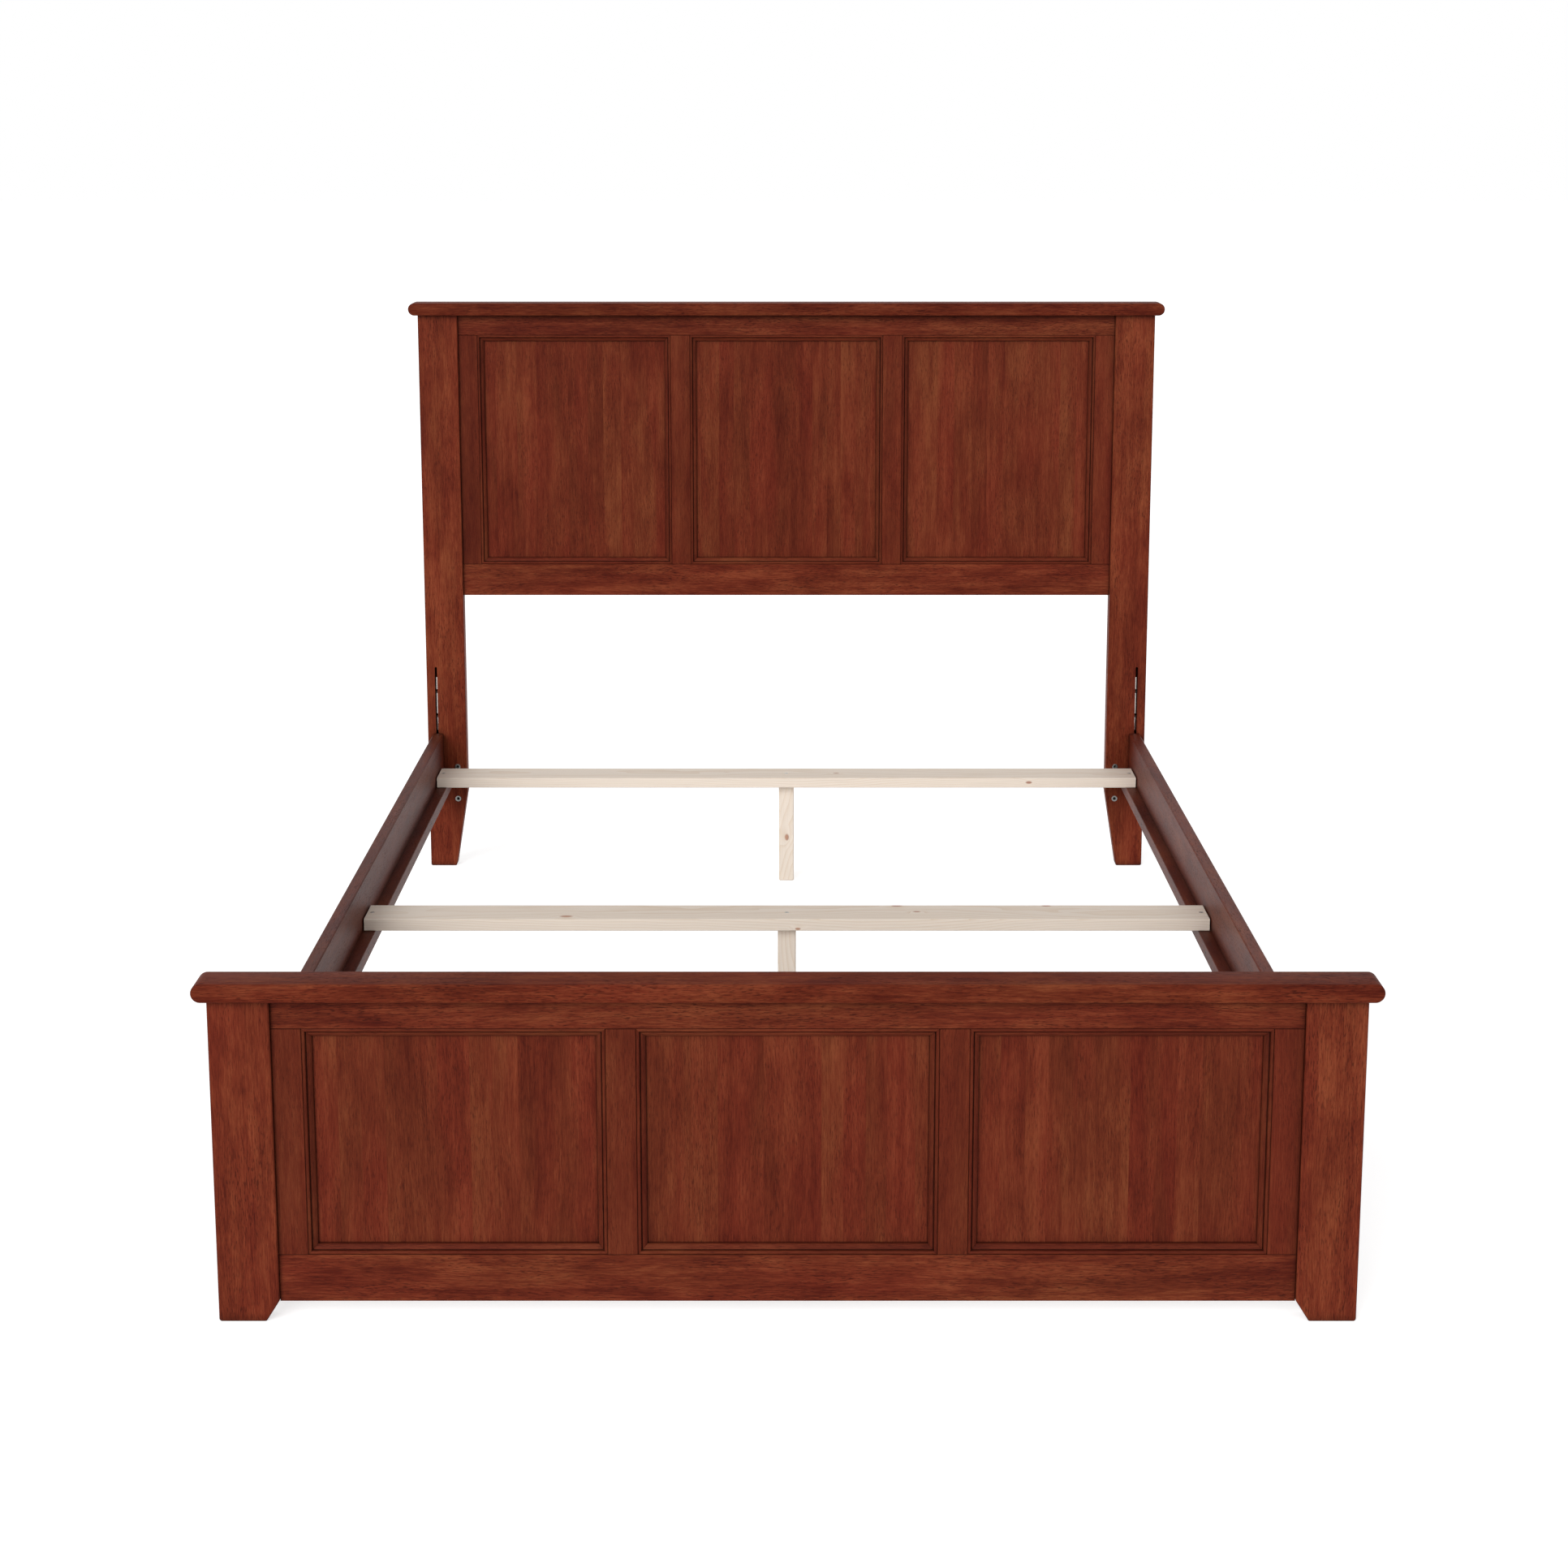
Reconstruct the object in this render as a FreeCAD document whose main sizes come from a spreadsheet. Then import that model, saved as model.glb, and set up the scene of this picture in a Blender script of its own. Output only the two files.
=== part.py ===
import FreeCAD, Part
import os
import re
import Sketcher
from FreeCAD import Placement, Rotation, Vector

# Queen-size panel bed. A head board and a foot board, each a frame of three panels with mitred mouldings
# between two posts under a round-ended cap, are joined by two side rails whose steel hooks drop over pins
# in the posts. Cleats on the rails carry three pine slats, and a square leg stands under each slat's middle.
#
# The bed's frame: origin on the floor under the middle, +X to the right as seen from the foot, +Y to the
# head, +Z up. The left half is modelled, and pieces on the right are its mirror images.

SIZES = {
    # the whole bed
    "span_across_posts": 1610.0,
    "inside_length": 2055.0,
    "head_height": 1275.0,
    "foot_height": 504.5,
    # posts, their tapered toes and eased edges
    "post_width": 86.0,
    "post_depth": 30.0,
    "head_taper_height": 174.0,
    "head_toe_width": 58.0,
    "foot_taper_height": 30.5,
    "foot_toe_width": 67.0,
    "toe_radius": 4.0,
    "post_edge_ease": 1.5,
    # cap
    "cap_thickness": 27.0,
    "cap_depth": 54.0,
    "cap_overhang": 19.0,
    "cap_edge_ease": 2.5,
    # the frame of rails and uprights between the posts
    "frame_recess": 7.0,
    "frame_thickness": 21.0,
    "top_rail_height": 44.0,
    "bottom_rail_height": 70.0,
    "head_bottom_rail_base": 624.0,
    "foot_bottom_rail_base": 27.5,
    "stile_width": 42.0,
    "mullion_width": 42.0,
    "frame_edge_ease": 0.6,
    # tenons of the rails, in the posts' mortises
    "tenon_length": 18.0,
    "tenon_thickness": 9.0,
    "tenon_setback": 6.0,
    "tenon_shoulder": 10.0,
    "mortise_clearance": 0.2,
    # panels in their grooves
    "panel_recess": 11.0,
    "panel_thickness": 6.0,
    "groove_depth": 8.0,
    "groove_clearance": 0.3,
    "panel_play": 1.0,
    # mitred moulding: a bead along the frame, a quirk, then a slope down to the panel
    "moulding_width": 14.0,
    "bead_width": 5.0,
    "bead_edge_height": 9.4,
    "bead_radius": 3.1,
    "quirk_width": 2.0,
    "quirk_height": 5.2,
    "slope_top_height": 7.0,
    "slope_foot_height": 2.2,
    "slope_radius": 14.0,
    # dowels between cap and board
    "dowel_diameter": 8.0,
    "dowel_length": 42.0,
    "dowel_rise": 17.0,
    "dowel_inset": 26.0,
    "dowel_clearance": 0.1,
    # side rails and cleats
    "rail_inset": 11.5,
    "rail_thickness": 23.0,
    "rail_height": 140.0,
    "rail_above_pins": 18.0,
    "rail_edge_ease": 2.0,
    "cleat_width": 23.0,
    "cleat_height": 24.5,
    "cleat_drop": 88.0,
    "cleat_edge_ease": 1.0,
    # slats and their legs
    "slat_width": 79.0,
    "slat_thickness": 22.0,
    "slat_end_gap": 2.5,
    "slat_setback": 52.5,
    "slat_edge_ease": 1.2,
    "leg_width": 33.0,
    "leg_edge_ease": 2.0,
    # hook slot in each post, its cross pins and its steel liner; heights are reckoned from the pins
    "hook_slot_inset": 21.0,
    "hook_slot_width": 5.3,
    "hook_slot_depth": 18.5,
    "slot_below_pins": 22.0,
    "slot_above_pins": 59.5,
    "pin_diameter": 5.0,
    "pin_length": 24.0,
    "pin_clearance": 0.1,
    "pin_setback": 9.0,
    "pin_base": 234.0,
    "pin_pitch": 56.0,
    "pin_count": 4.0,
    "liner_thickness": 1.2,
    "liner_clearance": 0.1,
    "liner_above_pins": 32.0,
    # hook plates in the rails' kerfs
    "plate_thickness": 2.5,
    "plate_tail": 64.0,
    "plate_base_inset": 6.0,
    "plate_top_inset": 8.0,
    "plate_corner": 4.0,
    "kerf_clearance": 0.3,
    "hook_reach": 15.5,
    "hook_rise": 8.0,
    "hook_drop": 9.0,
    "hook_clearance": 0.2,
    "hook_count": 2.0,
    "plate_screw_setback": 50.0,
    "plate_screw_inset": 9.0,
    "plate_screw_length": 19.0,
    # insert nuts low on the head posts
    "insert_inset": 64.5,
    "insert_height": 157.0,
    "insert_spacing": 74.0,
    "insert_flange_diameter": 13.0,
    "insert_flange_thickness": 1.5,
    "insert_body_diameter": 10.0,
    "insert_length": 13.0,
    "insert_thread_diameter": 5.0,
    "insert_clearance": 0.1,
    # wood screws
    "screw_shank_diameter": 4.0,
    "screw_head_diameter": 8.0,
    "screw_head_height": 2.4,
    "screw_clearance": 0.15,
    "cleat_screw_length": 38.0,
    "cleat_screw_setback": 365.0,
    "cleat_screw_from_middle": 120.0,
    "slat_screw_length": 40.0,
    "leg_screw_length": 65.0,
    # screws, pins, dowels and their holes are so many and so small that eight flats stand for round
    "small_round_flat_count": 8.0,
}

# How far apart two levels may be and still count as one, in millimetres.
SAME_LEVEL = 1e-4

doc = FreeCAD.newDocument("PanelBed")
sheet = doc.addObject("Spreadsheet::Sheet", "Sizes")
for row, (alias, number) in enumerate(SIZES.items(), start=1):
    sheet.set("A%d" % row, alias)
    sheet.set("B%d" % row, str(number))
    sheet.setAlias("B%d" % row, alias)
doc.recompute()

# Lengths that several pieces share, in words that name the sheet's cells.
HALF_SPAN = "(span_across_posts / 2)"
HALF_INSIDE = "(inside_length / 2)"
FRAME_WIDTH = "(span_across_posts - 2 * post_width)"
OPENING_WIDTH = "((%s - 2 * stile_width - 2 * mullion_width) / 3)" % FRAME_WIDTH
OPENING_PITCH = "(%s + mullion_width)" % OPENING_WIDTH
MIDDLE_OF_FRAME = "frame_recess + frame_thickness / 2"
RAIL_OUTER_FACE = "(%s - rail_inset)" % HALF_SPAN
RAIL_INNER_FACE = "(%s - rail_thickness)" % RAIL_OUTER_FACE
CLEAT_MIDDLE = "(%s - cleat_width / 2)" % RAIL_INNER_FACE
SLOT_LINE = "(%s - hook_slot_inset)" % HALF_SPAN
TOP_PIN = "(pin_base + (pin_count - 1) * pin_pitch)"
TOP_HOOKED_PIN = "(pin_base + (hook_count - 1) * pin_pitch)"
SLOT_BASE = "(pin_base - slot_below_pins)"
SLOT_TOP = "(%s + slot_above_pins)" % TOP_PIN
LINER_TOP = "(%s + liner_above_pins)" % TOP_PIN
RAIL_TOP = "(%s + rail_above_pins)" % TOP_HOOKED_PIN
RAIL_BASE = "(%s - rail_height)" % RAIL_TOP
PLATE_BASE = "(%s + plate_base_inset)" % RAIL_BASE
PLATE_TOP = "(%s - plate_top_inset)" % RAIL_TOP
CLEAT_TOP = "(%s - cleat_drop)" % RAIL_TOP
SLAT_TOP = "(%s + slat_thickness)" % CLEAT_TOP
SLAT_HALF_LENGTH = "(%s - slat_end_gap)" % RAIL_INNER_FACE
END_SLAT_MIDDLE = "(%s - slat_setback - slat_width / 2)" % HALF_INSIDE

SLAT_MIDDLES = {"head": END_SLAT_MIDDLE, "middle": "0", "foot": "-" + END_SLAT_MIDDLE}

PLATE_SCREW_HEIGHTS = ("pin_base + pin_pitch / 2", "%s + plate_screw_inset" % PLATE_BASE)

INSERT_HEIGHTS = ("insert_height", "insert_height + insert_spacing")

BOARD_FRONT = {"head": HALF_INSIDE, "foot": "(-%s - post_depth)" % HALF_INSIDE}

ALONG = {
    "x": Rotation(Vector(0, 1, 0), 90),
    "y": Rotation(Vector(1, 0, 0), -90),
    "z": Rotation(),
}


def tied(words):
    """The same expression with each size's name pointed at its cell in the sheet."""
    return re.sub(r"[a-z][a-z_]+", lambda word: "Sizes." + word[0] if word[0] in SIZES else word[0], words)


def size(words):
    """What an expression in the sizes comes to now, in millimetres."""
    return float(sheet.evalExpression(tied(words)))


def tie(feature, **properties):
    """Bind properties of a feature to expressions in the sizes."""
    for name, words in properties.items():
        feature.setExpression(name, tied(words))


def put(feature, x="0", y="0", z="0"):
    """Bind where a feature or a piece stands."""
    for axis, words in zip("xyz", (x, y, z)):
        feature.setExpression("Placement.Base." + axis, tied(words))


def new_body(label, x="0", y="0", z="0"):
    body = doc.addObject("PartDesign::Body", label)
    body.Label = label
    put(body, x, y, z)
    return body


def block(body, kind, name, sides, corner):
    """Add or cut a box with the given sides from the given low corner."""
    box = body.newObject("PartDesign::%sBox" % kind, name)
    tie(box, Length=sides[0], Width=sides[1], Height=sides[2])
    put(box, *corner)
    return box


def rod(body, kind, name, diameter, length, start, axis="z"):
    """Add or cut a round bar that runs from a point along an axis."""
    cylinder = body.newObject("PartDesign::%sCylinder" % kind, name)
    cylinder.Placement = Placement(Vector(), ALONG[axis])
    tie(cylinder, Radius="(%s) / 2" % diameter, Height=length)
    put(cylinder, *start)
    return cylinder


def small_rod(body, kind, name, diameter, length, start, axis="z"):
    """Add or cut a small round bar, drawn with flats, that runs from a point along an axis."""
    prism = body.newObject("PartDesign::%sPrism" % kind, name)
    prism.Placement = Placement(Vector(), ALONG[axis])
    tie(prism, Polygon="small_round_flat_count", Circumradius="(%s) / 2" % diameter, Height=length)
    put(prism, *start)
    return prism


def outline(body, plane, name, corners):
    """A closed sketch through corners given anticlockwise as (across, up) or (across, up, radius).
    With a radius, the edge that leads to the corner is an arc that swells outwards."""
    sketch = body.newObject("Sketcher::SketchObject", name)
    support = [feature for feature in body.Origin.OriginFeatures if feature.Role == plane][0]
    sketch.AttachmentSupport = [(support, "")]
    sketch.MapMode = "FlatFace"
    points = [Vector(size(corner[0]), size(corner[1]), 0) for corner in corners]
    count = len(corners)
    for i in range(count):
        start, end, corner = points[i], points[(i + 1) % count], corners[(i + 1) % count]
        if len(corner) == 3:
            run = end - start
            radius = size(corner[2])
            rise = radius - (radius ** 2 - (run.Length / 2) ** 2) ** 0.5
            crown = (start + end) / 2 + Vector(run.y, -run.x, 0) * (rise / run.Length)
            sketch.addGeometry(Part.Arc(start, crown, end))
            rule = sketch.addConstraint(Sketcher.Constraint("Radius", i, radius))
            sketch.setExpression("Constraints[%d]" % rule, tied(corner[2]))
        else:
            sketch.addGeometry(Part.LineSegment(start, end))
    for i in range(count):
        sketch.addConstraint(Sketcher.Constraint("Coincident", i, 2, (i + 1) % count, 1))
        for rule_kind, words, value in (
            ("DistanceX", corners[i][0], points[i].x),
            ("DistanceY", corners[i][1], points[i].y),
        ):
            rule = sketch.addConstraint(Sketcher.Constraint(rule_kind, -1, 1, i, 1, value))
            sketch.setExpression("Constraints[%d]" % rule, tied(words))
    return sketch


def pad(body, sketch, name, length, reverse=False):
    feature = body.newObject("PartDesign::Pad", name)
    feature.Profile = sketch
    feature.Reversed = reverse
    tie(feature, Length=length)
    return feature


def work_edges(body, kind, name, wanted):
    """A fillet or chamfer on the edges of the body's newest shape that the test wanted(edge) picks."""
    doc.recompute()
    base = body.Tip
    names = ["Edge%d" % (i + 1) for i, edge in enumerate(base.Shape.Edges) if wanted(edge)]
    feature = body.newObject("PartDesign::" + kind, name)
    feature.Base = (base, names)
    return feature


def round_over(body, name, radius, wanted):
    tie(work_edges(body, "Fillet", name, wanted), Radius=radius)


def break_edges(body, name, width, wanted):
    """Plane a narrow flat at 45 degrees along the picked edges."""
    tie(work_edges(body, "Chamfer", name, wanted), Size=width)


def flat_at(edge, axis, level):
    """Whether an edge lies wholly at one level of an axis."""
    box = edge.BoundBox
    low, high = getattr(box, axis + "Min"), getattr(box, axis + "Max")
    return abs(low - level) < SAME_LEVEL and abs(high - level) < SAME_LEVEL


def runs_along(edge, axis):
    """Whether an edge is a straight line along an axis."""
    box = edge.BoundBox
    spans = {"x": box.XLength, "y": box.YLength, "z": box.ZLength}
    return spans[axis] > SAME_LEVEL and sum(spans.values()) - spans[axis] < SAME_LEVEL


def mirrored(label, source, normal):
    """A piece that is the mirror image of another in a plane through the bed's middle."""
    mirror = doc.addObject("Part::Mirroring", label)
    mirror.Label = label
    mirror.Source = source
    mirror.Base = Vector()
    mirror.Normal = normal
    return mirror


def group(label, masters_and_places):
    """One node of separate solids, each a copy of a master piece at a place."""
    doc.recompute()
    solids = []
    for master, place in masters_and_places:
        solid = master.Shape.copy()
        solid.Placement = place
        solids.append(solid)
    node = doc.addObject("Part::Feature", label)
    node.Label = label
    node.Shape = Part.makeCompound(solids)
    node.Placement = Placement()
    return node


def facing(x, y, z, direction):
    """A place for a master whose own +Z turns to the direction."""
    return Placement(Vector(size(x), size(y), size(z)), Rotation(Vector(0, 0, 1), Vector(*direction)))


def screw_master(label, length):
    """Countersunk wood screw with its head's face at the origin and its shank down -Z."""
    screw = new_body(label)
    under_head = ("0", "0", "-screw_head_height")
    small_rod(screw, "Additive", "Head", "screw_head_diameter", "screw_head_height", under_head)
    level = size("-screw_head_height")
    slope = "(screw_head_diameter - screw_shank_diameter) / 2"
    break_edges(screw, "Countersink", slope, lambda edge: flat_at(edge, "Z", level))
    small_rod(screw, "Additive", "Shank", "screw_shank_diameter", length, ("0", "0", "-(%s)" % length))
    return screw


def stepped(point, axis, distance):
    """A point, in words, moved by a distance along an axis."""
    moved = list(point)
    moved["xyz".index(axis)] += " + (%s)" % distance
    return moved


def screw_hole(body, name, mouth, axis, depth):
    """Cut a screw's hole, which runs back from its mouth against the axis."""
    hole = "screw_shank_diameter + 2 * screw_clearance"
    small_rod(body, "Subtractive", name, hole, depth, stepped(mouth, axis, "-(%s)" % depth), axis)


def countersink(body, axis, face):
    """Countersink every screw hole that opens on the face at a level of an axis."""
    level, mouth_side = size(face), size("screw_shank_diameter / 2 + screw_clearance")
    break_edges(
        body,
        "Countersinks",
        "screw_head_height",
        lambda edge: flat_at(edge, axis, level) and edge.Length < mouth_side,
    )


# ---------------------------------------------------------------- head board and foot board


def board_levels(end):
    """Heights of a board's parts: cap underside, bottom rail's base, panel opening's base and height."""
    cap_base = "(%s_height - cap_thickness)" % end
    rail_base = "%s_bottom_rail_base" % end
    opening_base = "(%s + bottom_rail_height)" % rail_base
    opening_height = "(%s - top_rail_height - %s)" % (cap_base, opening_base)
    return cap_base, rail_base, opening_base, opening_height


def tenon_block(body, kind, name, rail_corner, rail_height, length, clearance):
    """A rail's tenon, or with a clearance its mortise, reckoned from the rail's corner (across, up)."""
    sides = (
        length,
        "tenon_thickness + 2 * (%s)" % clearance,
        "%s - 2 * tenon_shoulder + 2 * (%s)" % (rail_height, clearance),
    )
    corner = (
        rail_corner[0],
        "frame_recess + tenon_setback - (%s)" % clearance,
        "%s + tenon_shoulder - (%s)" % (rail_corner[1], clearance),
    )
    block(body, kind, name, sides, corner)


def post(end):
    """Left post in its own frame: outer face at x 0, front face at y 0, floor at z 0."""
    cap_base, rail_base, _, _ = board_levels(end)
    body = new_body("%s_post_left" % end, "-" + HALF_SPAN, BOARD_FRONT[end])
    shape = outline(
        body,
        "XZ_Plane",
        "Outline",
        [
            ("0", "0"),
            ("%s_toe_width" % end, "0"),
            ("post_width", "%s_taper_height" % end),
            ("post_width", cap_base),
            ("0", cap_base),
        ],
    )
    pad(body, shape, "Board", "post_depth", reverse=True)
    round_over(body, "RoundToe", "toe_radius", lambda edge: runs_along(edge, "y") and flat_at(edge, "Z", 0))
    depth = size("post_depth")
    top = size(cap_base)
    break_edges(
        body,
        "EasedEdges",
        "post_edge_ease",
        lambda edge: (flat_at(edge, "Y", 0) or flat_at(edge, "Y", depth)) and not flat_at(edge, "Z", top),
    )

    inner = "post_width - tenon_length - 2 * mortise_clearance"
    mortise_length = "tenon_length + 2 * mortise_clearance"
    top_rail_base = "(%s - top_rail_height)" % cap_base
    for which, base in (("top", top_rail_base), ("bottom", rail_base)):
        height = which + "_rail_height"
        corner = (inner, base)
        tenon_block(body, "Subtractive", "Mortise", corner, height, mortise_length, "mortise_clearance")
    dowel_base = "%s - dowel_length + dowel_rise" % cap_base
    for side, x in (("Outer", "dowel_inset"), ("Inner", "post_width - dowel_inset")):
        dowel_hole(body, "Dowel" + side, x, "post_depth / 2", dowel_base, "down")

    slot_front = "0" if end == "head" else "post_depth - hook_slot_depth"
    slot_radius = "hook_slot_width / 2"
    foot_of_slot = "%s + %s" % (SLOT_BASE, slot_radius)
    head_of_slot = "%s - %s" % (SLOT_TOP, slot_radius)
    block(
        body,
        "Subtractive",
        "HookSlot",
        ("hook_slot_width", "hook_slot_depth", "%s - (%s)" % (head_of_slot, foot_of_slot)),
        ("hook_slot_inset - " + slot_radius, slot_front, foot_of_slot),
    )
    for name, z in (("SlotFoot", foot_of_slot), ("SlotHead", head_of_slot)):
        start = ("hook_slot_inset", slot_front, z)
        small_rod(body, "Subtractive", name, "hook_slot_width", "hook_slot_depth", start, "y")

    pin_depth = "pin_setback" if end == "head" else "post_depth - pin_setback"
    for i in range(int(size("pin_count"))):
        start = ("hook_slot_inset - pin_length / 2", pin_depth, "pin_base + %d * pin_pitch" % i)
        hole = "pin_diameter + 2 * pin_clearance"
        small_rod(body, "Subtractive", "PinHole%d" % i, hole, "pin_length", start, "x")

    if end == "head":
        gap = " + 2 * insert_clearance"
        flange = "insert_flange_thickness + insert_clearance"
        hole_depth = "insert_length + insert_clearance"
        for i, z in enumerate(INSERT_HEIGHTS):
            mouth = ("insert_inset", "0", z)
            rod(body, "Subtractive", "InsertSeat%d" % i, "insert_flange_diameter" + gap, flange, mouth, "y")
            barrel = "insert_body_diameter" + gap
            small_rod(body, "Subtractive", "InsertHole%d" % i, barrel, hole_depth, mouth, "y")
    return body


def dowel_hole(body, name, x, y, z, way):
    """Cut the hole of a dowel that stands on z: its lower part in the board, or its upper part in the cap."""
    if way == "down":
        start, depth = "%s - dowel_clearance" % z, "dowel_length - dowel_rise + 2 * dowel_clearance"
    else:
        start, depth = z, "dowel_rise + dowel_clearance"
    small_rod(body, "Subtractive", name, "dowel_diameter + 2 * dowel_clearance", depth, (x, y, start))


def dowel_spots():
    """Where dowels stand, as (x, y) from the middle of the board's front face."""
    spots = []
    for sign in ("-", ""):
        spots.append(("%s(%s - dowel_inset)" % (sign, HALF_SPAN), "post_depth / 2"))
        spots.append(("%s(%s - post_width + dowel_inset)" % (sign, HALF_SPAN), "post_depth / 2"))
        spots.append(("%s%s / 2" % (sign, OPENING_PITCH), MIDDLE_OF_FRAME))
    return spots


def cap(end):
    """Cap in its own frame: middle of its length at x 0, front of the posts at y 0, underside at z 0."""
    cap_base = board_levels(end)[0]
    body = new_body("%s_cap" % end, "0", BOARD_FRONT[end], cap_base)
    straight = "span_across_posts + 2 * cap_overhang - cap_thickness"
    front = "(post_depth - cap_depth) / 2"
    corner = ("-(%s) / 2" % straight, front, "0")
    block(body, "Additive", "Board", (straight, "cap_depth", "cap_thickness"), corner)
    for name, sign in (("RoundLeft", "-"), ("RoundRight", "")):
        start = ("%s(%s) / 2" % (sign, straight), front, "cap_thickness / 2")
        rod(body, "Additive", name, "cap_thickness", "cap_depth", start, "y")
    front_level, back_level = size(front), size(front + " + cap_depth")
    break_edges(
        body,
        "EasedEdges",
        "cap_edge_ease",
        lambda edge: flat_at(edge, "Y", front_level) or flat_at(edge, "Y", back_level),
    )
    for i, (x, y) in enumerate(dowel_spots()):
        dowel_hole(body, "Dowel%d" % i, x, y, "0", "up")
    return body


def ease_front(body):
    """Break the arrises round a frame member's front face, which leaves a fine line at every joint."""
    front = size("frame_recess")
    break_edges(body, "EasedFront", "frame_edge_ease", lambda edge: flat_at(edge, "Y", front))


def frame_rail(end, which):
    """Top or bottom rail in its own frame: middle at x 0, front of the posts at y 0, base at z 0."""
    cap_base, bottom_base, _, _ = board_levels(end)
    height = which + "_rail_height"
    base = "%s - top_rail_height" % cap_base if which == "top" else bottom_base
    body = new_body("%s_%s_rail" % (end, which), "0", BOARD_FRONT[end], base)
    sides = (FRAME_WIDTH, "frame_thickness", height)
    block(body, "Additive", "Board", sides, ("-%s / 2" % FRAME_WIDTH, "frame_recess", "0"))
    ease_front(body)
    left_shoulder, right_shoulder = "-%s / 2" % FRAME_WIDTH, "%s / 2" % FRAME_WIDTH
    for name, x in (("TenonLeft", left_shoulder + " - tenon_length"), ("TenonRight", right_shoulder)):
        tenon_block(body, "Additive", name, (x, "0"), height, "tenon_length", "0")
    groove_base = "0" if which == "top" else "%s - groove_depth" % height
    groove(body, "Groove", ("-%s / 2" % FRAME_WIDTH, groove_base), (FRAME_WIDTH, "groove_depth"))
    if which == "top":
        rail_spots = [spot for spot in dowel_spots() if spot[1] == MIDDLE_OF_FRAME]
        for i, (x, y) in enumerate(rail_spots):
            dowel_hole(body, "Dowel%d" % i, x, y, "top_rail_height - dowel_length + dowel_rise", "down")
    return body


def groove(body, name, corner, sides):
    """Cut a panel's groove: corner and sides are (across, up) in the board's plane."""
    block(
        body,
        "Subtractive",
        name,
        (sides[0], "panel_thickness + groove_clearance", sides[1]),
        (corner[0], "frame_recess + panel_recess", corner[1]),
    )


def upright(end, label, width, left_edge, grooved_sides):
    """Stile or mullion in its own frame: left edge at x 0, front of posts at y 0, opening's base at z 0."""
    _, _, opening_base, opening_height = board_levels(end)
    body = new_body("%s_%s" % (end, label), left_edge, BOARD_FRONT[end], opening_base)
    block(body, "Additive", "Board", (width, "frame_thickness", opening_height), ("0", "frame_recess", "0"))
    ease_front(body)
    tongue = "(groove_depth - panel_play)"
    block(
        body,
        "Additive",
        "Tongues",
        (width, "panel_thickness", "%s + 2 * %s" % (opening_height, tongue)),
        ("0", "frame_recess + panel_recess", "-" + tongue),
    )
    starts = {"left": "0", "right": "%s - groove_depth" % width}
    sides = ("groove_depth", "%s + 2 * groove_depth" % opening_height)
    for side in grooved_sides:
        groove(body, "Groove" + side.title(), (starts[side], "-groove_depth"), sides)
    return body


def panel(end, label, opening_left):
    """Flat panel, larger than its opening by what the grooves hold."""
    _, _, opening_base, opening_height = board_levels(end)
    held = "(groove_depth - panel_play)"
    body = new_body("%s_panel_%s" % (end, label), opening_left, BOARD_FRONT[end], opening_base)
    block(
        body,
        "Additive",
        "Board",
        ("%s + 2 * %s" % (OPENING_WIDTH, held), "panel_thickness", "%s + 2 * %s" % (opening_height, held)),
        ("-" + held, "frame_recess + panel_recess", "-" + held),
    )
    return body


def moulding_strip(label, length):
    """One mitred strip: its length along +X, its width from the frame's edge along +Y, its face up +Z."""
    body = new_body(label)
    quirk_end = "(bead_width + quirk_width)"
    profile = outline(
        body,
        "YZ_Plane",
        "Profile",
        [
            ("0", "0"),
            ("moulding_width", "0"),
            ("moulding_width", "slope_foot_height"),
            (quirk_end, "slope_top_height", "slope_radius"),
            (quirk_end, "quirk_height"),
            ("bead_width", "quirk_height"),
            ("bead_width", "bead_edge_height"),
            ("0", "bead_edge_height", "bead_radius"),
        ],
    )
    pad(body, profile, "Strip", length)
    past, short = "%s + moulding_width" % length, "%s - moulding_width" % length
    for name, low, high, inner_low, inner_high in (
        ("MitreStart", "-moulding_width", "0", "-moulding_width", "moulding_width"),
        ("MitreEnd", length, past, short, past),
    ):
        wedge = body.newObject("PartDesign::SubtractiveWedge", name)
        tie(wedge, Xmin=low, Xmax=high, X2min=inner_low, X2max=inner_high)
        tie(wedge, Ymin="0", Ymax="moulding_width")
        tie(wedge, Zmin="0", Zmax="panel_recess", Z2min="0", Z2max="panel_recess")
    return body


def moulding(end, label, opening_left, across_strip, upright_strip):
    """Four mitred strips laid round a panel's opening, against the frame and on the panel's face."""
    _, _, opening_base, opening_height = board_levels(end)
    width, height = size(OPENING_WIDTH), size(opening_height)
    corners = (
        (across_strip, 0, 0),
        (upright_strip, width, 0),
        (across_strip, width, height),
        (upright_strip, 0, height),
    )
    laid_flat = Rotation(Vector(1, 0, 0), 90)
    strips = []
    for turn, (strip, x, z) in enumerate(corners):
        round_the_opening = Rotation(Vector(0, -1, 0), 90 * turn)
        strips.append((strip, Placement(Vector(x, 0, z), round_the_opening.multiply(laid_flat))))
    node = group("%s_moulding_%s" % (end, label), strips)
    face = size(BOARD_FRONT[end] + " + frame_recess + panel_recess")
    node.Placement = Placement(Vector(size(opening_left), face, size(opening_base)), Rotation())
    return node


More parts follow.
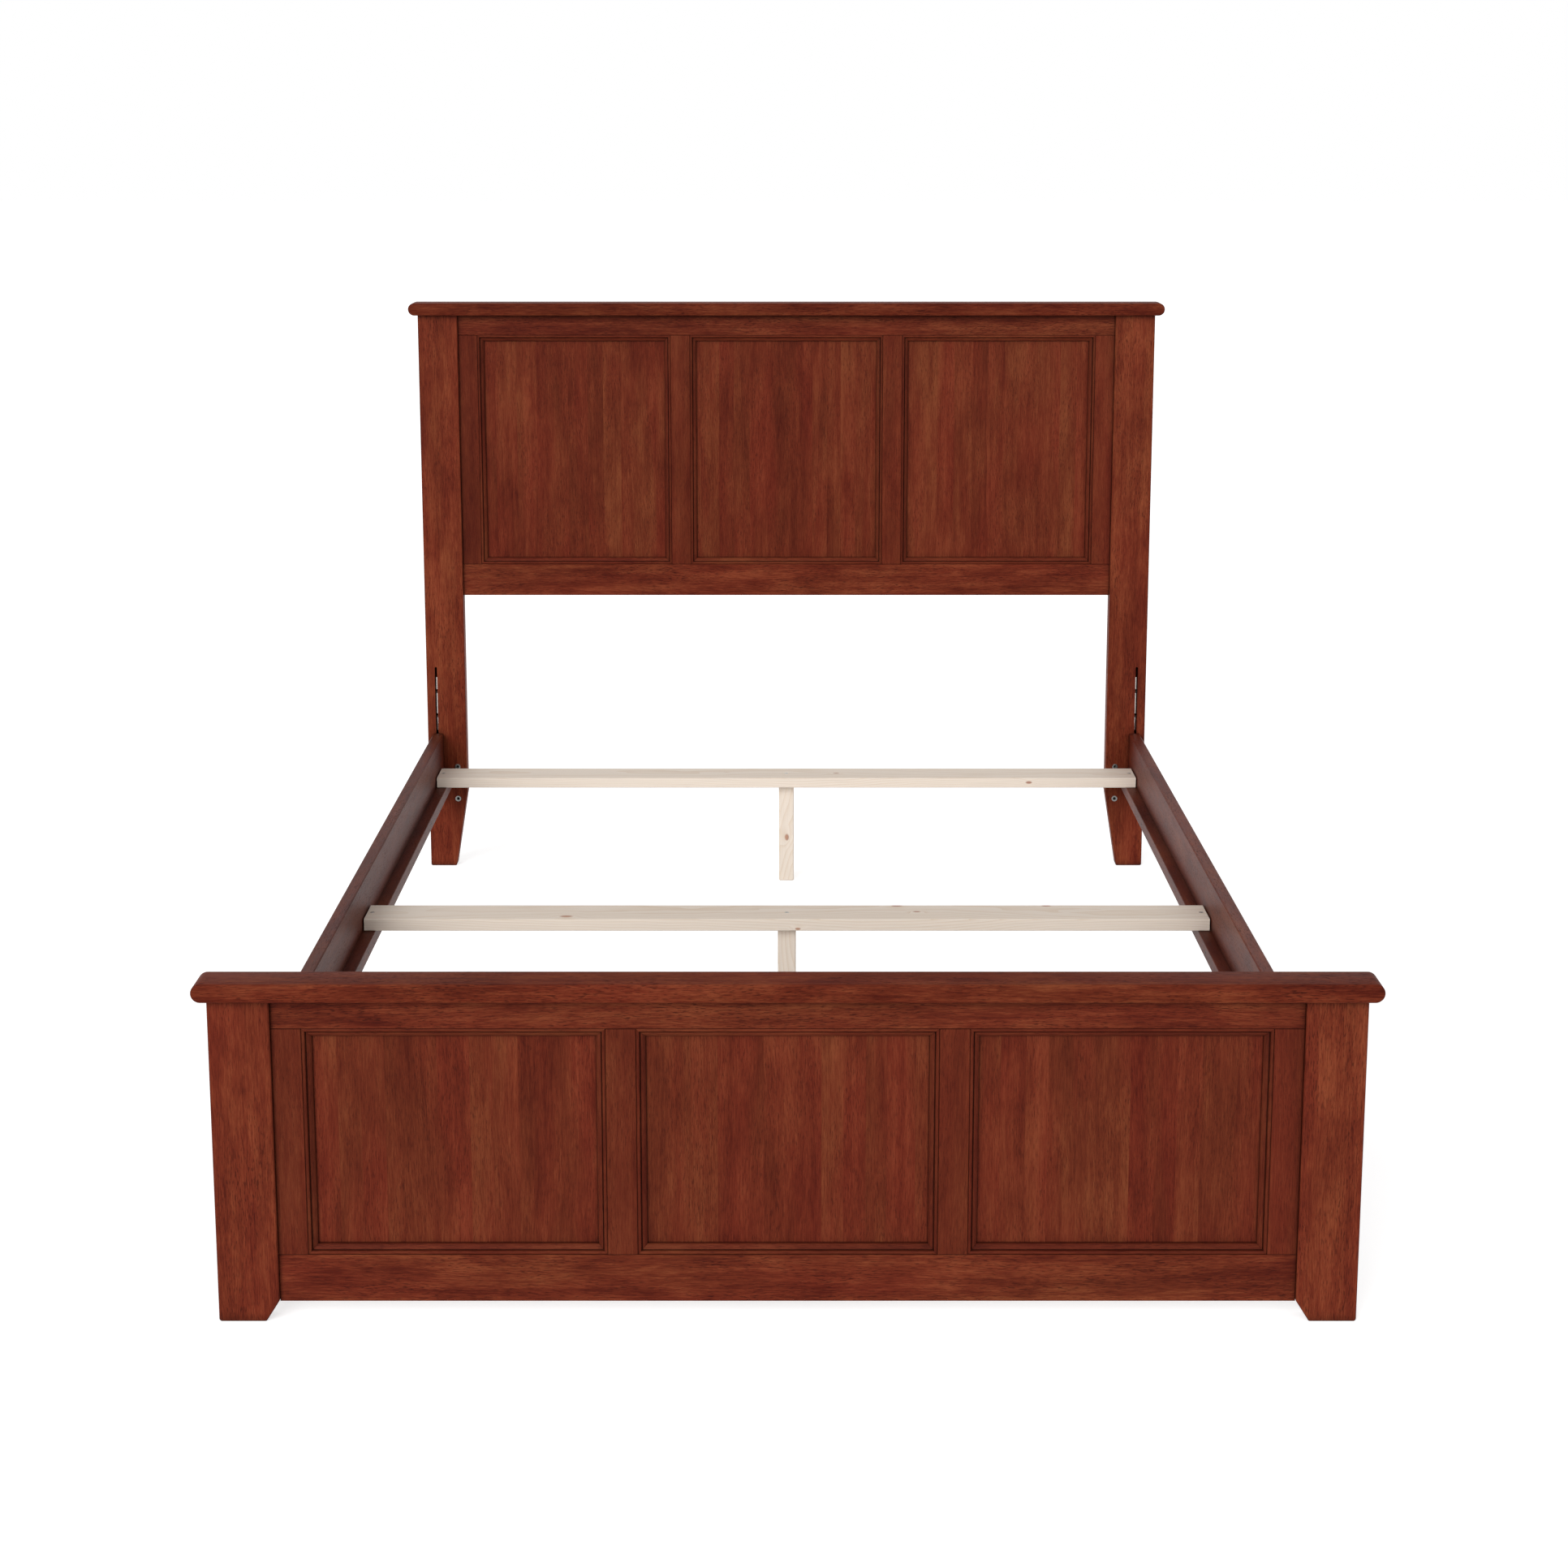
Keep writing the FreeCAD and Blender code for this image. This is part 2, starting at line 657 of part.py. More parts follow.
def board(end, across_strip):
    """All the wooden pieces of one board, in a list."""
    pieces = [post(end)]
    pieces.append(mirrored("%s_post_right" % end, pieces[0], Vector(1, 0, 0)))
    pieces.append(cap(end))
    pieces.append(frame_rail(end, "top"))
    pieces.append(frame_rail(end, "bottom"))
    stile = upright(end, "stile_left", "stile_width", "-%s / 2" % FRAME_WIDTH, ["right"])
    mullion_left_edge = "-%s / 2 - mullion_width" % OPENING_WIDTH
    mullion = upright(end, "mullion_left", "mullion_width", mullion_left_edge, ["left", "right"])
    pieces += [stile, mirrored("%s_stile_right" % end, stile, Vector(1, 0, 0))]
    pieces += [mullion, mirrored("%s_mullion_right" % end, mullion, Vector(1, 0, 0))]
    upright_strip = moulding_strip("%s_upright_strip" % end, board_levels(end)[3])
    for label, step in (("left", -1), ("middle", 0), ("right", 1)):
        opening_left = "%d * %s - %s / 2" % (step, OPENING_PITCH, OPENING_WIDTH)
        pieces.append(panel(end, label, opening_left))
        pieces.append(moulding(end, label, opening_left, across_strip, upright_strip))
    return pieces


def cap_dowels(end, dowel):
    base = board_levels(end)[0] + " - dowel_length + dowel_rise"
    front = BOARD_FRONT[end]
    places = [(dowel, facing(x, "%s + %s" % (front, y), base, (0, 0, 1))) for x, y in dowel_spots()]
    return group("%s_cap_dowels" % end, places)


# ---------------------------------------------------------------- rails, hooks, cleats


def cleat_screw_spots():
    """Where the cleat's screws lie along the bed: two in each half, clear of the slats."""
    outer = "(%s - cleat_screw_setback)" % HALF_INSIDE
    return ["-" + outer, "-cleat_screw_from_middle", "cleat_screw_from_middle", outer]


def side_rail():
    """Left rail in its own frame: outer face at x 0, middle of its length at y 0, floor at z 0."""
    body = new_body("side_rail_left", "-" + RAIL_OUTER_FACE)
    sides = ("rail_thickness", "inside_length", "rail_height")
    block(body, "Additive", "Board", sides, ("0", "-" + HALF_INSIDE, RAIL_BASE))
    break_edges(body, "EasedEdges", "rail_edge_ease", lambda edge: runs_along(edge, "y"))
    kerf = "(plate_thickness + kerf_clearance)"
    kerf_side = "hook_slot_inset - rail_inset - %s / 2" % kerf
    tail = "(plate_tail + kerf_clearance)"
    sides = (kerf, tail, "%s - %s + 2 * kerf_clearance" % (PLATE_TOP, PLATE_BASE))
    starts = ("%s - %s" % (HALF_INSIDE, tail), "-" + HALF_INSIDE)
    for name, y, sign in zip(("KerfHead", "KerfFoot"), starts, ("", "-")):
        block(body, "Subtractive", name, sides, (kerf_side, y, "%s - kerf_clearance" % PLATE_BASE))
        for z in PLATE_SCREW_HEIGHTS:
            mouth = ("rail_thickness", "%s(%s - plate_screw_setback)" % (sign, HALF_INSIDE), z)
            screw_hole(body, "PlateScrew", mouth, "x", "plate_screw_length + screw_clearance")
    countersink(body, "X", "rail_thickness")
    for i, y in enumerate(cleat_screw_spots()):
        mouth = ("rail_thickness", y, "%s - cleat_height / 2" % CLEAT_TOP)
        depth = "cleat_screw_length - cleat_width + screw_clearance"
        screw_hole(body, "CleatPilot%d" % i, mouth, "x", depth)
    return body


def slat_cleat():
    """Left cleat in its own frame: face on the rail at x 0, middle of its length at y 0, floor at z 0."""
    body = new_body("slat_cleat_left", "-" + RAIL_INNER_FACE)
    sides = ("cleat_width", "inside_length", "cleat_height")
    block(body, "Additive", "Strip", sides, ("0", "-" + HALF_INSIDE, "%s - cleat_height" % CLEAT_TOP))
    face = size("cleat_width")
    break_edges(
        body,
        "EasedEdges",
        "cleat_edge_ease",
        lambda edge: runs_along(edge, "y") and flat_at(edge, "X", face),
    )
    for i, y in enumerate(cleat_screw_spots()):
        mouth = ("cleat_width", y, "%s - cleat_height / 2" % CLEAT_TOP)
        screw_hole(body, "CleatScrew%d" % i, mouth, "x", "cleat_width")
    countersink(body, "X", "cleat_width")
    depth = "slat_screw_length - slat_thickness + screw_clearance"
    for place, y in SLAT_MIDDLES.items():
        screw_hole(body, "SlatPilot_" + place, ("cleat_width / 2", y, CLEAT_TOP), "z", depth)
    return body


def hook_plate():
    """Left head-end hook plate in its own frame: mid-thickness at x 0, rail's end at y 0, floor at z 0."""
    body = new_body("hook_plate_head_left", "-" + SLOT_LINE, HALF_INSIDE)
    side = "-plate_thickness / 2"
    sides = ("plate_thickness", "plate_tail", "%s - %s" % (PLATE_TOP, PLATE_BASE))
    block(body, "Additive", "Plate", sides, (side, "-plate_tail", PLATE_BASE))
    hooked_pins = ["(pin_base + %d * pin_pitch)" % i for i in range(int(size("hook_count")))]
    sides = ("plate_thickness", "hook_reach", "hook_rise + hook_drop")
    for pin in hooked_pins:
        block(body, "Additive", "Hook", sides, (side, "0", pin + " - hook_drop"))
    reach = size("hook_reach")
    break_edges(
        body,
        "HookNoses",
        "(hook_reach - pin_setback - pin_diameter / 2 - hook_clearance) / 3",
        lambda edge: runs_along(edge, "x") and flat_at(edge, "Y", reach),
    )
    tail = size("-plate_tail")
    break_edges(
        body,
        "TailCorners",
        "plate_corner",
        lambda edge: runs_along(edge, "x") and flat_at(edge, "Y", tail),
    )
    notch = "(pin_diameter + 2 * hook_clearance)"
    sides = ("plate_thickness", notch, "hook_drop")
    for pin in hooked_pins:
        corner = (side, "pin_setback - %s / 2" % notch, pin + " - hook_drop")
        block(body, "Subtractive", "Notch", sides, corner)
        crown = (side, "pin_setback", pin)
        small_rod(body, "Subtractive", "NotchCrown", notch, "plate_thickness", crown, "x")
    for z in PLATE_SCREW_HEIGHTS:
        mouth = ("plate_thickness / 2", "-plate_screw_setback", z)
        screw_hole(body, "ScrewHole", mouth, "x", "plate_thickness")
    return body


def slot_hardware(end, pin, liner):
    """Cross pins and steel liners of a board's two slots, as two nodes."""
    head = end == "head"
    way = 1 if head else -1
    face = HALF_INSIDE if head else "-" + HALF_INSIDE
    pins, liners = [], []
    for side in (-1, 1):
        x = "%d * %s" % (side, SLOT_LINE)
        y = "%s + %d * pin_setback" % (face, way)
        for i in range(int(size("pin_count"))):
            pins.append((pin, facing(x, y, "pin_base + %d * pin_pitch" % i, (1, 0, 0))))
        bottom = "%s + %d * (hook_slot_depth - liner_thickness / 2)" % (face, way)
        liners.append((liner, facing(x, bottom, "%s + hook_slot_width / 2" % SLOT_BASE, (0, 0, 1))))
    return [group("hook_pins_" + end, pins), group("slot_liners_" + end, liners)]


def insert_nut():
    """Flanged insert nut with its flange's face at the origin and its body down -Z."""
    nut = new_body("insert_nut")
    far_end = ("0", "0", "-insert_length")
    small_rod(nut, "Additive", "Barrel", "insert_body_diameter", "insert_length", far_end)
    flange = "insert_flange_thickness"
    rod(nut, "Additive", "Flange", "insert_flange_diameter", flange, ("0", "0", "-" + flange))
    rod(nut, "Subtractive", "Thread", "insert_thread_diameter", "insert_length", far_end)
    return nut


# ---------------------------------------------------------------- slats and legs


def slat(place, middle):
    """Slat in its own frame: middle of its length at x 0, middle of its width at y 0, underside at z 0."""
    body = new_body("slat_" + place, "0", middle, CLEAT_TOP)
    sides = ("2 * " + SLAT_HALF_LENGTH, "slat_width", "slat_thickness")
    block(body, "Additive", "Board", sides, ("-" + SLAT_HALF_LENGTH, "-slat_width / 2", "0"))
    break_edges(body, "EasedEdges", "slat_edge_ease", lambda edge: runs_along(edge, "x"))
    for name, x in (("Left", "-" + CLEAT_MIDDLE), ("Middle", "0"), ("Right", CLEAT_MIDDLE)):
        screw_hole(body, "Screw" + name, (x, "0", "slat_thickness"), "z", "slat_thickness")
    countersink(body, "Z", "slat_thickness")
    return body


def centre_leg(place, middle):
    """Leg in its own frame: its axis at x 0 and y 0, floor at z 0."""
    body = new_body("centre_leg_" + place, "0", middle)
    corner = ("-leg_width / 2", "-leg_width / 2", "0")
    block(body, "Additive", "Post", ("leg_width", "leg_width", CLEAT_TOP), corner)
    break_edges(
        body,
        "EasedEdges",
        "leg_edge_ease",
        lambda edge: runs_along(edge, "z") or flat_at(edge, "Z", 0),
    )
    depth = "leg_screw_length - slat_thickness + screw_clearance"
    screw_hole(body, "ScrewHole", ("0", "0", CLEAT_TOP), "z", depth)
    return body


# ---------------------------------------------------------------- the whole bed


def build():
    """Every node of the bed, in a list."""
    nodes = []
    across_strip = moulding_strip("across_strip", OPENING_WIDTH)
    dowel = new_body("dowel")
    small_rod(dowel, "Additive", "Rod", "dowel_diameter", "dowel_length", ("0", "0", "0"))
    pin = new_body("hook_pin")
    small_rod(pin, "Additive", "Rod", "pin_diameter", "pin_length", ("0", "0", "-pin_length / 2"))
    liner = new_body("slot_liner")
    liner_height = "%s - %s - hook_slot_width / 2" % (LINER_TOP, SLOT_BASE)
    sides = ("hook_slot_width - 2 * liner_clearance", "liner_thickness", liner_height)
    corner = ("liner_clearance - hook_slot_width / 2", "-liner_thickness / 2", "0")
    block(liner, "Additive", "Strip", sides, corner)
    for end in ("head", "foot"):
        nodes += board(end, across_strip)
        nodes.append(cap_dowels(end, dowel))
        nodes += slot_hardware(end, pin, liner)

    rail, cleat, plate = side_rail(), slat_cleat(), hook_plate()
    right, foot = Vector(1, 0, 0), Vector(0, 1, 0)
    foot_plate = mirrored("hook_plate_foot_left", plate, foot)
    nodes += [rail, mirrored("side_rail_right", rail, right)]
    nodes += [cleat, mirrored("slat_cleat_right", cleat, right)]
    nodes += [plate, mirrored("hook_plate_head_right", plate, right)]
    nodes += [foot_plate, mirrored("hook_plate_foot_right", foot_plate, right)]

    for place, middle in SLAT_MIDDLES.items():
        nodes.append(slat(place, middle))
        nodes.append(centre_leg(place, middle))

    cleat_screw = screw_master("cleat_screw", "cleat_screw_length")
    plate_screw = screw_master("plate_screw", "plate_screw_length")
    slat_screw = screw_master("slat_screw", "slat_screw_length")
    leg_screw = screw_master("leg_screw", "leg_screw_length")
    nut = insert_nut()
    cleat_spots, plate_spots, slat_spots, insert_spots = [], [], [], []
    for side in (-1, 1):
        inwards = (-side, 0, 0)
        cleat_face = "%d * (%s - cleat_width)" % (side, RAIL_INNER_FACE)
        rail_face = "%d * %s" % (side, RAIL_INNER_FACE)
        cleat_middle = "%s - cleat_height / 2" % CLEAT_TOP
        for y in cleat_screw_spots():
            cleat_spots.append((cleat_screw, facing(cleat_face, y, cleat_middle, inwards)))
        for way in (-1, 1):
            y = "%d * (%s - plate_screw_setback)" % (way, HALF_INSIDE)
            for z in PLATE_SCREW_HEIGHTS:
                plate_spots.append((plate_screw, facing(rail_face, y, z, inwards)))
        for y in SLAT_MIDDLES.values():
            slat_spots.append((slat_screw, facing("%d * %s" % (side, CLEAT_MIDDLE), y, SLAT_TOP, (0, 0, 1))))
        for z in INSERT_HEIGHTS:
            x = "%d * (%s - insert_inset)" % (side, HALF_SPAN)
            insert_spots.append((nut, facing(x, HALF_INSIDE, z, (0, -1, 0))))
    nodes.append(group("cleat_screws", cleat_spots))
    nodes.append(group("hook_plate_screws", plate_spots))
    nodes.append(group("slat_screws", slat_spots))
    nodes.append(group("insert_nuts", insert_spots))
    leg_places = [(leg_screw, facing("0", y, SLAT_TOP, (0, 0, 1))) for y in SLAT_MIDDLES.values()]
    nodes.append(group("leg_screws", leg_places))
    return nodes


def check(nodes):
    """Stop if any object of the document failed, or a node's shape is missing or broken."""
    for item in doc.Objects:
        if "Invalid" in item.State or "Error" in item.State:
            raise RuntimeError("%s failed: %s" % (item.Label, item.State))
    for node in nodes:
        if node.Shape.isNull() or not node.Shape.isValid() or not node.Shape.Solids:
            raise RuntimeError("%s has no sound solid" % node.Label)


nodes = build()
doc.recompute()
check(nodes)
os.makedirs("parts", exist_ok=True)
for node in nodes:
    node.Shape.exportStep("parts/%s.step" % node.Label)
    box = node.Shape.BoundBox
    print(
        "%-24s %2d solid(s), %8.1f cm3, from (%.1f, %.1f, %.1f) to (%.1f, %.1f, %.1f)"
        % (
            node.Label, len(node.Shape.Solids), node.Shape.Volume / 1000,
            box.XMin, box.YMin, box.ZMin, box.XMax, box.YMax, box.ZMax,
        )
    )
print("%d nodes" % len(nodes))
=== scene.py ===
# %% [markdown]
# # A panel bed in stained wood
#
# The bed is a head board and a foot board with three moulded panels each, two side rails, three pine slats
# and a leg under each slat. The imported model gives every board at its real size, in metres, with the origin
# on the floor under the middle of the bed, +Y to the head and +Z up. This script dresses that model: it
# keeps the plain boards, gives each one its own piece of wood, and makes finer pieces where the eye stops at
# a shape.

import math

import bmesh
import bpy
import numpy as np
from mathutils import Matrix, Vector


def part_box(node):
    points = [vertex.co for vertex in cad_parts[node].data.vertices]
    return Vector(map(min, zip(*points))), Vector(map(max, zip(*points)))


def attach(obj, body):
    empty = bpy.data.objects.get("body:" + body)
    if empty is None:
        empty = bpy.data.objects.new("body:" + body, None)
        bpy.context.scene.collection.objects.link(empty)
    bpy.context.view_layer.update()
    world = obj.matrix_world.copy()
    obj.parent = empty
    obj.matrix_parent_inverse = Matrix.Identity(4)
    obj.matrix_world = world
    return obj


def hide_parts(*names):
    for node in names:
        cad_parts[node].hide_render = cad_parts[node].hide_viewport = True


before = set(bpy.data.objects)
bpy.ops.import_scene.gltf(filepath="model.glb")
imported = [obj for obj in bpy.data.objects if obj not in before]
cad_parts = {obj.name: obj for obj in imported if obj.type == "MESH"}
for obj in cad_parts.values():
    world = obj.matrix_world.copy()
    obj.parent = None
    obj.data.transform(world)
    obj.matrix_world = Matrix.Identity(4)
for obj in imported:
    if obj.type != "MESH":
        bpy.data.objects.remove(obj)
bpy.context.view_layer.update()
ENDS = ("head", "foot")

# %% [markdown]
# ## The camera
#
# The picture is taken from behind the foot board, a little above eye height. The upright lines of the bed
# stay nearly upright because part of the downward view comes from shifting the lens, as in a picture of a
# building, and only the rest from tilting the camera. More shift would push the bed out of the frame in
# other views.

# %% Camera
EYE = (-0.0052, -4.2353, 1.6953)
TILT_DOWN = math.radians(9.647)
LENS_MM = 55.392
LENS_SHIFT = -0.17

camera_data = bpy.data.cameras.new("camera")
camera_data.lens = LENS_MM
camera_data.shift_y = LENS_SHIFT
camera = bpy.data.objects.new("camera", camera_data)
camera.location = EYE
camera.rotation_euler = (math.pi / 2 - TILT_DOWN, 0, 0)
bpy.context.scene.collection.objects.link(camera)
bpy.context.scene.camera = camera
print("camera", EYE, "lens", LENS_MM)

# %% [markdown]
# ## Helpers for surfaces
#
# Every new piece here is a grid: a row of points is a section, and the rows follow one another along the
# piece. If the grid is computed as whole arrays, a piece is one formula and stays easy to change. The grid
# closes on itself around the section, and its two ends are closed by a row drawn in to a line or point, or
# by a face.

# %% Mesh from a grid
SAME_PLACE = 1e-6
SHARP_ANGLE = 35


def grid_faces(rows, columns):
    """Quads between neighbouring points of a rows by columns grid, which closes across the columns."""
    row, column = np.meshgrid(np.arange(rows - 1), np.arange(columns), indexing="ij")
    near, far = row * columns, (row + 1) * columns
    following = (column + 1) % columns
    quads = np.stack([near + column, near + following, far + following, far + column], axis=-1)
    return quads.reshape(-1, 4)


def make_piece(name, points, faces, materials, slots=None, sharp_angle=SHARP_ANGLE):
    """A mesh object that rides on the bed, from point and face arrays. slots gives each face's material.
    Points that coincide, as where a row is drawn in to a point, are merged, and then all faces are turned
    outwards."""
    mesh = bpy.data.meshes.new(name)
    mesh.from_pydata(np.reshape(points, (-1, 3)).tolist(), [], [list(face) for face in faces])
    for material in materials:
        mesh.materials.append(material)
    if slots is not None:
        mesh.polygons.foreach_set("material_index", np.array(slots, dtype=np.int32))
    shell = bmesh.new()
    shell.from_mesh(mesh)
    bmesh.ops.remove_doubles(shell, verts=shell.verts, dist=SAME_PLACE)
    bmesh.ops.recalc_face_normals(shell, faces=shell.faces)
    shell.to_mesh(mesh)
    shell.free()
    mesh.update()
    mesh.shade_smooth()
    mesh.set_sharp_from_angle(angle=math.radians(sharp_angle))
    piece = bpy.data.objects.new(name, mesh)
    bpy.context.scene.collection.objects.link(piece)
    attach(piece, "root")
    return piece


def islands(node):
    """The separate solids of a node, as (low corner, high corner) pairs. Triangles that share a point belong
    together: every point takes the lowest label among its triangles' points until no label changes."""
    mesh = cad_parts[node].data
    points = np.zeros(len(mesh.vertices) * 3)
    mesh.vertices.foreach_get("co", points)
    corners = np.zeros(len(mesh.loops), dtype=np.int64)
    mesh.loops.foreach_get("vertex_index", corners)
    places, merged = np.unique(np.round(points.reshape(-1, 3), 6), axis=0, return_inverse=True)
    triangles = merged.reshape(-1)[corners].reshape(-1, 3)
    labels = np.arange(len(places))
    while True:
        lowest = labels[triangles].min(axis=1)
        fresh = labels.copy()
        for corner in range(3):
            np.minimum.at(fresh, triangles[:, corner], lowest)
        if (fresh == labels).all():
            break
        labels = fresh
    solids = [places[labels == label] for label in np.unique(labels)]
    return [(solid.min(axis=0), solid.max(axis=0)) for solid in solids]


print("cleat screws:", len(islands("cleat_screws")))

# %% [markdown]
# ## Helpers for materials
#
# A procedural material is a small tree of nodes. These helpers keep the trees readable: one adds a node and
# wires it, and the others each stand for a step that comes back, such as noise drawn out along the grain, a
# mix of two colours, or the question how open a place is. Colours are given as the eye reads them, from 0 to
# 255, and are turned into the linear values that the renderer works in.

# %% Node helpers
SHADE_SAMPLES = 6


def tint(red, green, blue):
    """A colour as read by eye, in the renderer's linear values."""
    seen = np.array([red, green, blue]) / 255
    linear = np.where(seen <= 0.04045, seen / 12.92, ((seen + 0.055) / 1.055) ** 2.4)
    return (*linear.tolist(), 1.0)


def add(tree, kind, wires=None, **settings):
    """Add a node. settings are its own properties, and wires feed its inputs, by a socket or a plain
    value."""
    made = tree.nodes.new("ShaderNode" + kind)
    for key, value in settings.items():
        setattr(made, key, value)
    for key, value in (wires or {}).items():
        if isinstance(value, bpy.types.NodeSocket):
            tree.links.new(value, made.inputs[key])
        else:
            made.inputs[key].default_value = value
    return made


def maths(tree, operation, first, second=0.0):
    """One step of arithmetic on numbers."""
    return add(tree, "Math", {0: first, 1: second}, operation=operation).outputs[0]


def vectors(tree, operation, first, second):
    """One step of arithmetic on places, axis by axis."""
    return add(tree, "VectorMath", {0: first, 1: second}, operation=operation).outputs[0]


def axes(tree, place):
    """The three numbers of a place."""
    return add(tree, "SeparateXYZ", {0: place}).outputs


def own_place(tree):
    """The place in the object's own coordinates, which are the bed's."""
    return add(tree, "TexCoord").outputs["Object"]


def noise(tree, place, per_metre, detail=3.0, roughness=0.55):
    """Noise from 0 to 1. per_metre is how many blotches lie in a metre along, across and through the
    board."""
    scaled = vectors(tree, "MULTIPLY", place, per_metre)
    wires = {"Vector": scaled, "Scale": 1.0, "Detail": detail, "Roughness": roughness}
    return add(tree, "TexNoise", wires).outputs[0]


def swing(tree, value, weight):
    """A value from 0 to 1 as a swing about zero: its distance from a half, times a weight."""
    return maths(tree, "MULTIPLY", maths(tree, "SUBTRACT", value, 0.5), weight)


def window(tree, value, low, high, bottom=0.0, top=1.0):
    """Stretch the part of a value between low and high to run from bottom to top, and hold it there
    outside."""
    wires = {"Value": value, "From Min": low, "From Max": high, "To Min": bottom, "To Max": top}
    return add(tree, "MapRange", wires).outputs[0]


def mixed(tree, amount, first, second, way="MIX"):
    """Mix two colours by an amount, or lay the second over the first in another way, such as MULTIPLY."""
    return add(tree, "Mix", {0: amount, 6: first, 7: second}, data_type="RGBA", blend_type=way).outputs[2]


def shaded(tree, colour, value):
    """A colour made darker by a value: all three of its numbers times that value."""
    grey = add(tree, "CombineColor", {0: value, 1: value, 2: value}).outputs[0]
    return mixed(tree, 1.0, colour, grey, "MULTIPLY")


def openness(tree, reach):
    """1 where nothing stands within reach in front of the surface, and less the more of its view is
    closed."""
    return add(tree, "AmbientOcclusion", {"Distance": reach}, samples=SHADE_SAMPLES).outputs["AO"]


def new_material(name):
    """A node material with only its shader and output."""
    material = bpy.data.materials.new(name)
    material.use_nodes = True
    return material, material.node_tree, material.node_tree.nodes["Principled BSDF"]


def finish_wood(tree, shader, colour, roughness, relief, strength, depth):
    """Wire a wood's colour, roughness and relief to its shader. Relief of 1 stands depth above relief of
    0."""
    tree.links.new(colour, shader.inputs["Base Color"])
    tree.links.new(roughness, shader.inputs["Roughness"])
    bump = add(tree, "Bump", {"Height": relief, "Strength": strength, "Distance": depth})
    tree.links.new(bump.outputs[0], shader.inputs["Normal"])


print("a red brown in linear values:", [round(value, 3) for value in tint(103, 41.5, 26)])

# %% [markdown]
# ## Grain
#
# Wood is not the same in every direction. All the patterns below are worked out in the board's own
# directions: along the grain, across it and through the board. So the first step of every wood material puts
# the object's coordinates in that order, and slides them by a different amount for each board, so no two
# boards repeat.

# %% Grain coordinates
ORDER = {"x": ("X", "Z", "Y"), "y": ("Y", "Z", "X"), "z": ("Z", "X", "Y")}
SLIDE = (3.17, 1.73, 0.91)


def along_grain(tree, grain, seed):
    """The place in a board as (along, across, through), slid by an amount that depends on the seed."""
    parts = axes(tree, own_place(tree))
    turned = add(tree, "CombineXYZ", dict(enumerate(parts[axis] for axis in ORDER[grain]))).outputs[0]
    return vectors(tree, "ADD", turned, tuple(seed * step for step in SLIDE))


# %% [markdown]
# ## Stained wood
#
# The boards are a plain hardwood under a reddish brown stain and a satin lacquer. Three things make it look
# real. Slow clouds of maroon and orange come from the way the stain takes. Long streaks run with the grain.
# And short dark dashes are the open pores that hold more stain. The panels are glued up from staves, so
# there the tone and the pattern change from stave to stave. Near corners the colour is darkened, and most of
# all in the crease itself: painted shade, standing in for the shade that falls there.
#
# The patterns are added up to one tone, which picks the stain's colour between maroon, red brown and orange.
# A pattern of its own then leans that colour a little to the red or to the green side.

# %% Stained wood
MAROON = tint(77, 25, 16)
RED_BROWN = tint(103, 41.5, 26)
ORANGE = tint(125, 60, 38)
PORE = tint(40, 12, 9)
REDDER = (1.03, 0.94, 0.95, 1.0)
GREENER = (0.95, 1.10, 0.98, 1.0)
HUE_SPREAD = 0.25
STAVE_HUE_SPREAD = 0.15

# Each pattern's blotches in a metre along, across and through the board, its detail and its roughness.
PATTERNS = {
    "clouds": ((2.4, 9, 9), 2.0, 0.55),
    "blotches": ((10, 32, 32), 3.0, 0.55),
    "streaks": ((3.5, 95, 95), 4.0, 0.62),
    "fibres": ((40, 480, 480), 3.0, 0.6),
    "dashes": ((95, 800, 800), 1.0, 0.55),
    "patches": ((6, 28, 28), 2.0, 0.55),
    "hue": ((3, 18, 18), 2.0, 0.55),
}
CLOUD_WEIGHT = 0.9
GRAIN_WEIGHTS = {"blotches": 0.9, "streaks": 0.8, "fibres": 1.0}
DRIFT_PATTERN = (1.3, 5, 5)
DRIFT = 0.03

# A stave's edges bend so often in a metre and by so many widths. Its tone, hue and place shift so far.
STAVE_BENDS = 7.0
STAVE_UNEVENNESS = 2.2
STAVE_TONE = 0.2
STAVE_HUE = 0.16
STAVE_SHIFT = (5.0, 0.4, 0.4)
STAVES_PER_SEED = 17.0

# Painted shade in corners and creases: between which two values of openness it fades, and how light it
# leaves the wood there.
CORNER_REACH, CORNER_SHADE = 0.018, (0.40, 0.95, 0.42, 1.0)
CREASE_REACH, CREASE_SHADE = 0.0022, (0.40, 0.90, 0.55, 1.0)
JOINT_WIDTH, JOINT_SHADE = 0.0009, 0.5

PORE_DASHES = (0.54, 0.66)
PORE_PATCHES = (0.38, 0.62)
FEWEST_PORES, MOST_PORES = 0.18, 0.46
LACQUER_ROUGHNESS = (0.40, 0.52)
PORE_ROUGHNESS = 0.2
FIBRE_RELIEF = 0.25
LACQUER_SHEEN = 0.05


def stave_numbers(tree, place, width, seed):
    """Number the staves across a panel. Returns each stave's random value and colour, which shift its tone
    and pattern. The edges lie where the place across, bent so that the widths differ, passes a whole
    number."""
    across = axes(tree, place)[1]
    bends = {"W": maths(tree, "MULTIPLY", across, STAVE_BENDS), "Scale": 1.0, "Detail": 0.0}
    uneven = add(tree, "TexNoise", bends, noise_dimensions="1D").outputs[0]
    shift = maths(tree, "MULTIPLY", uneven, STAVE_UNEVENNESS)
    bent = maths(tree, "ADD", maths(tree, "DIVIDE", across, width), shift)
    number = maths(tree, "ADD", maths(tree, "FLOOR", bent), seed * STAVES_PER_SEED)
    return add(tree, "TexWhiteNoise", {"W": number}, noise_dimensions="1D").outputs


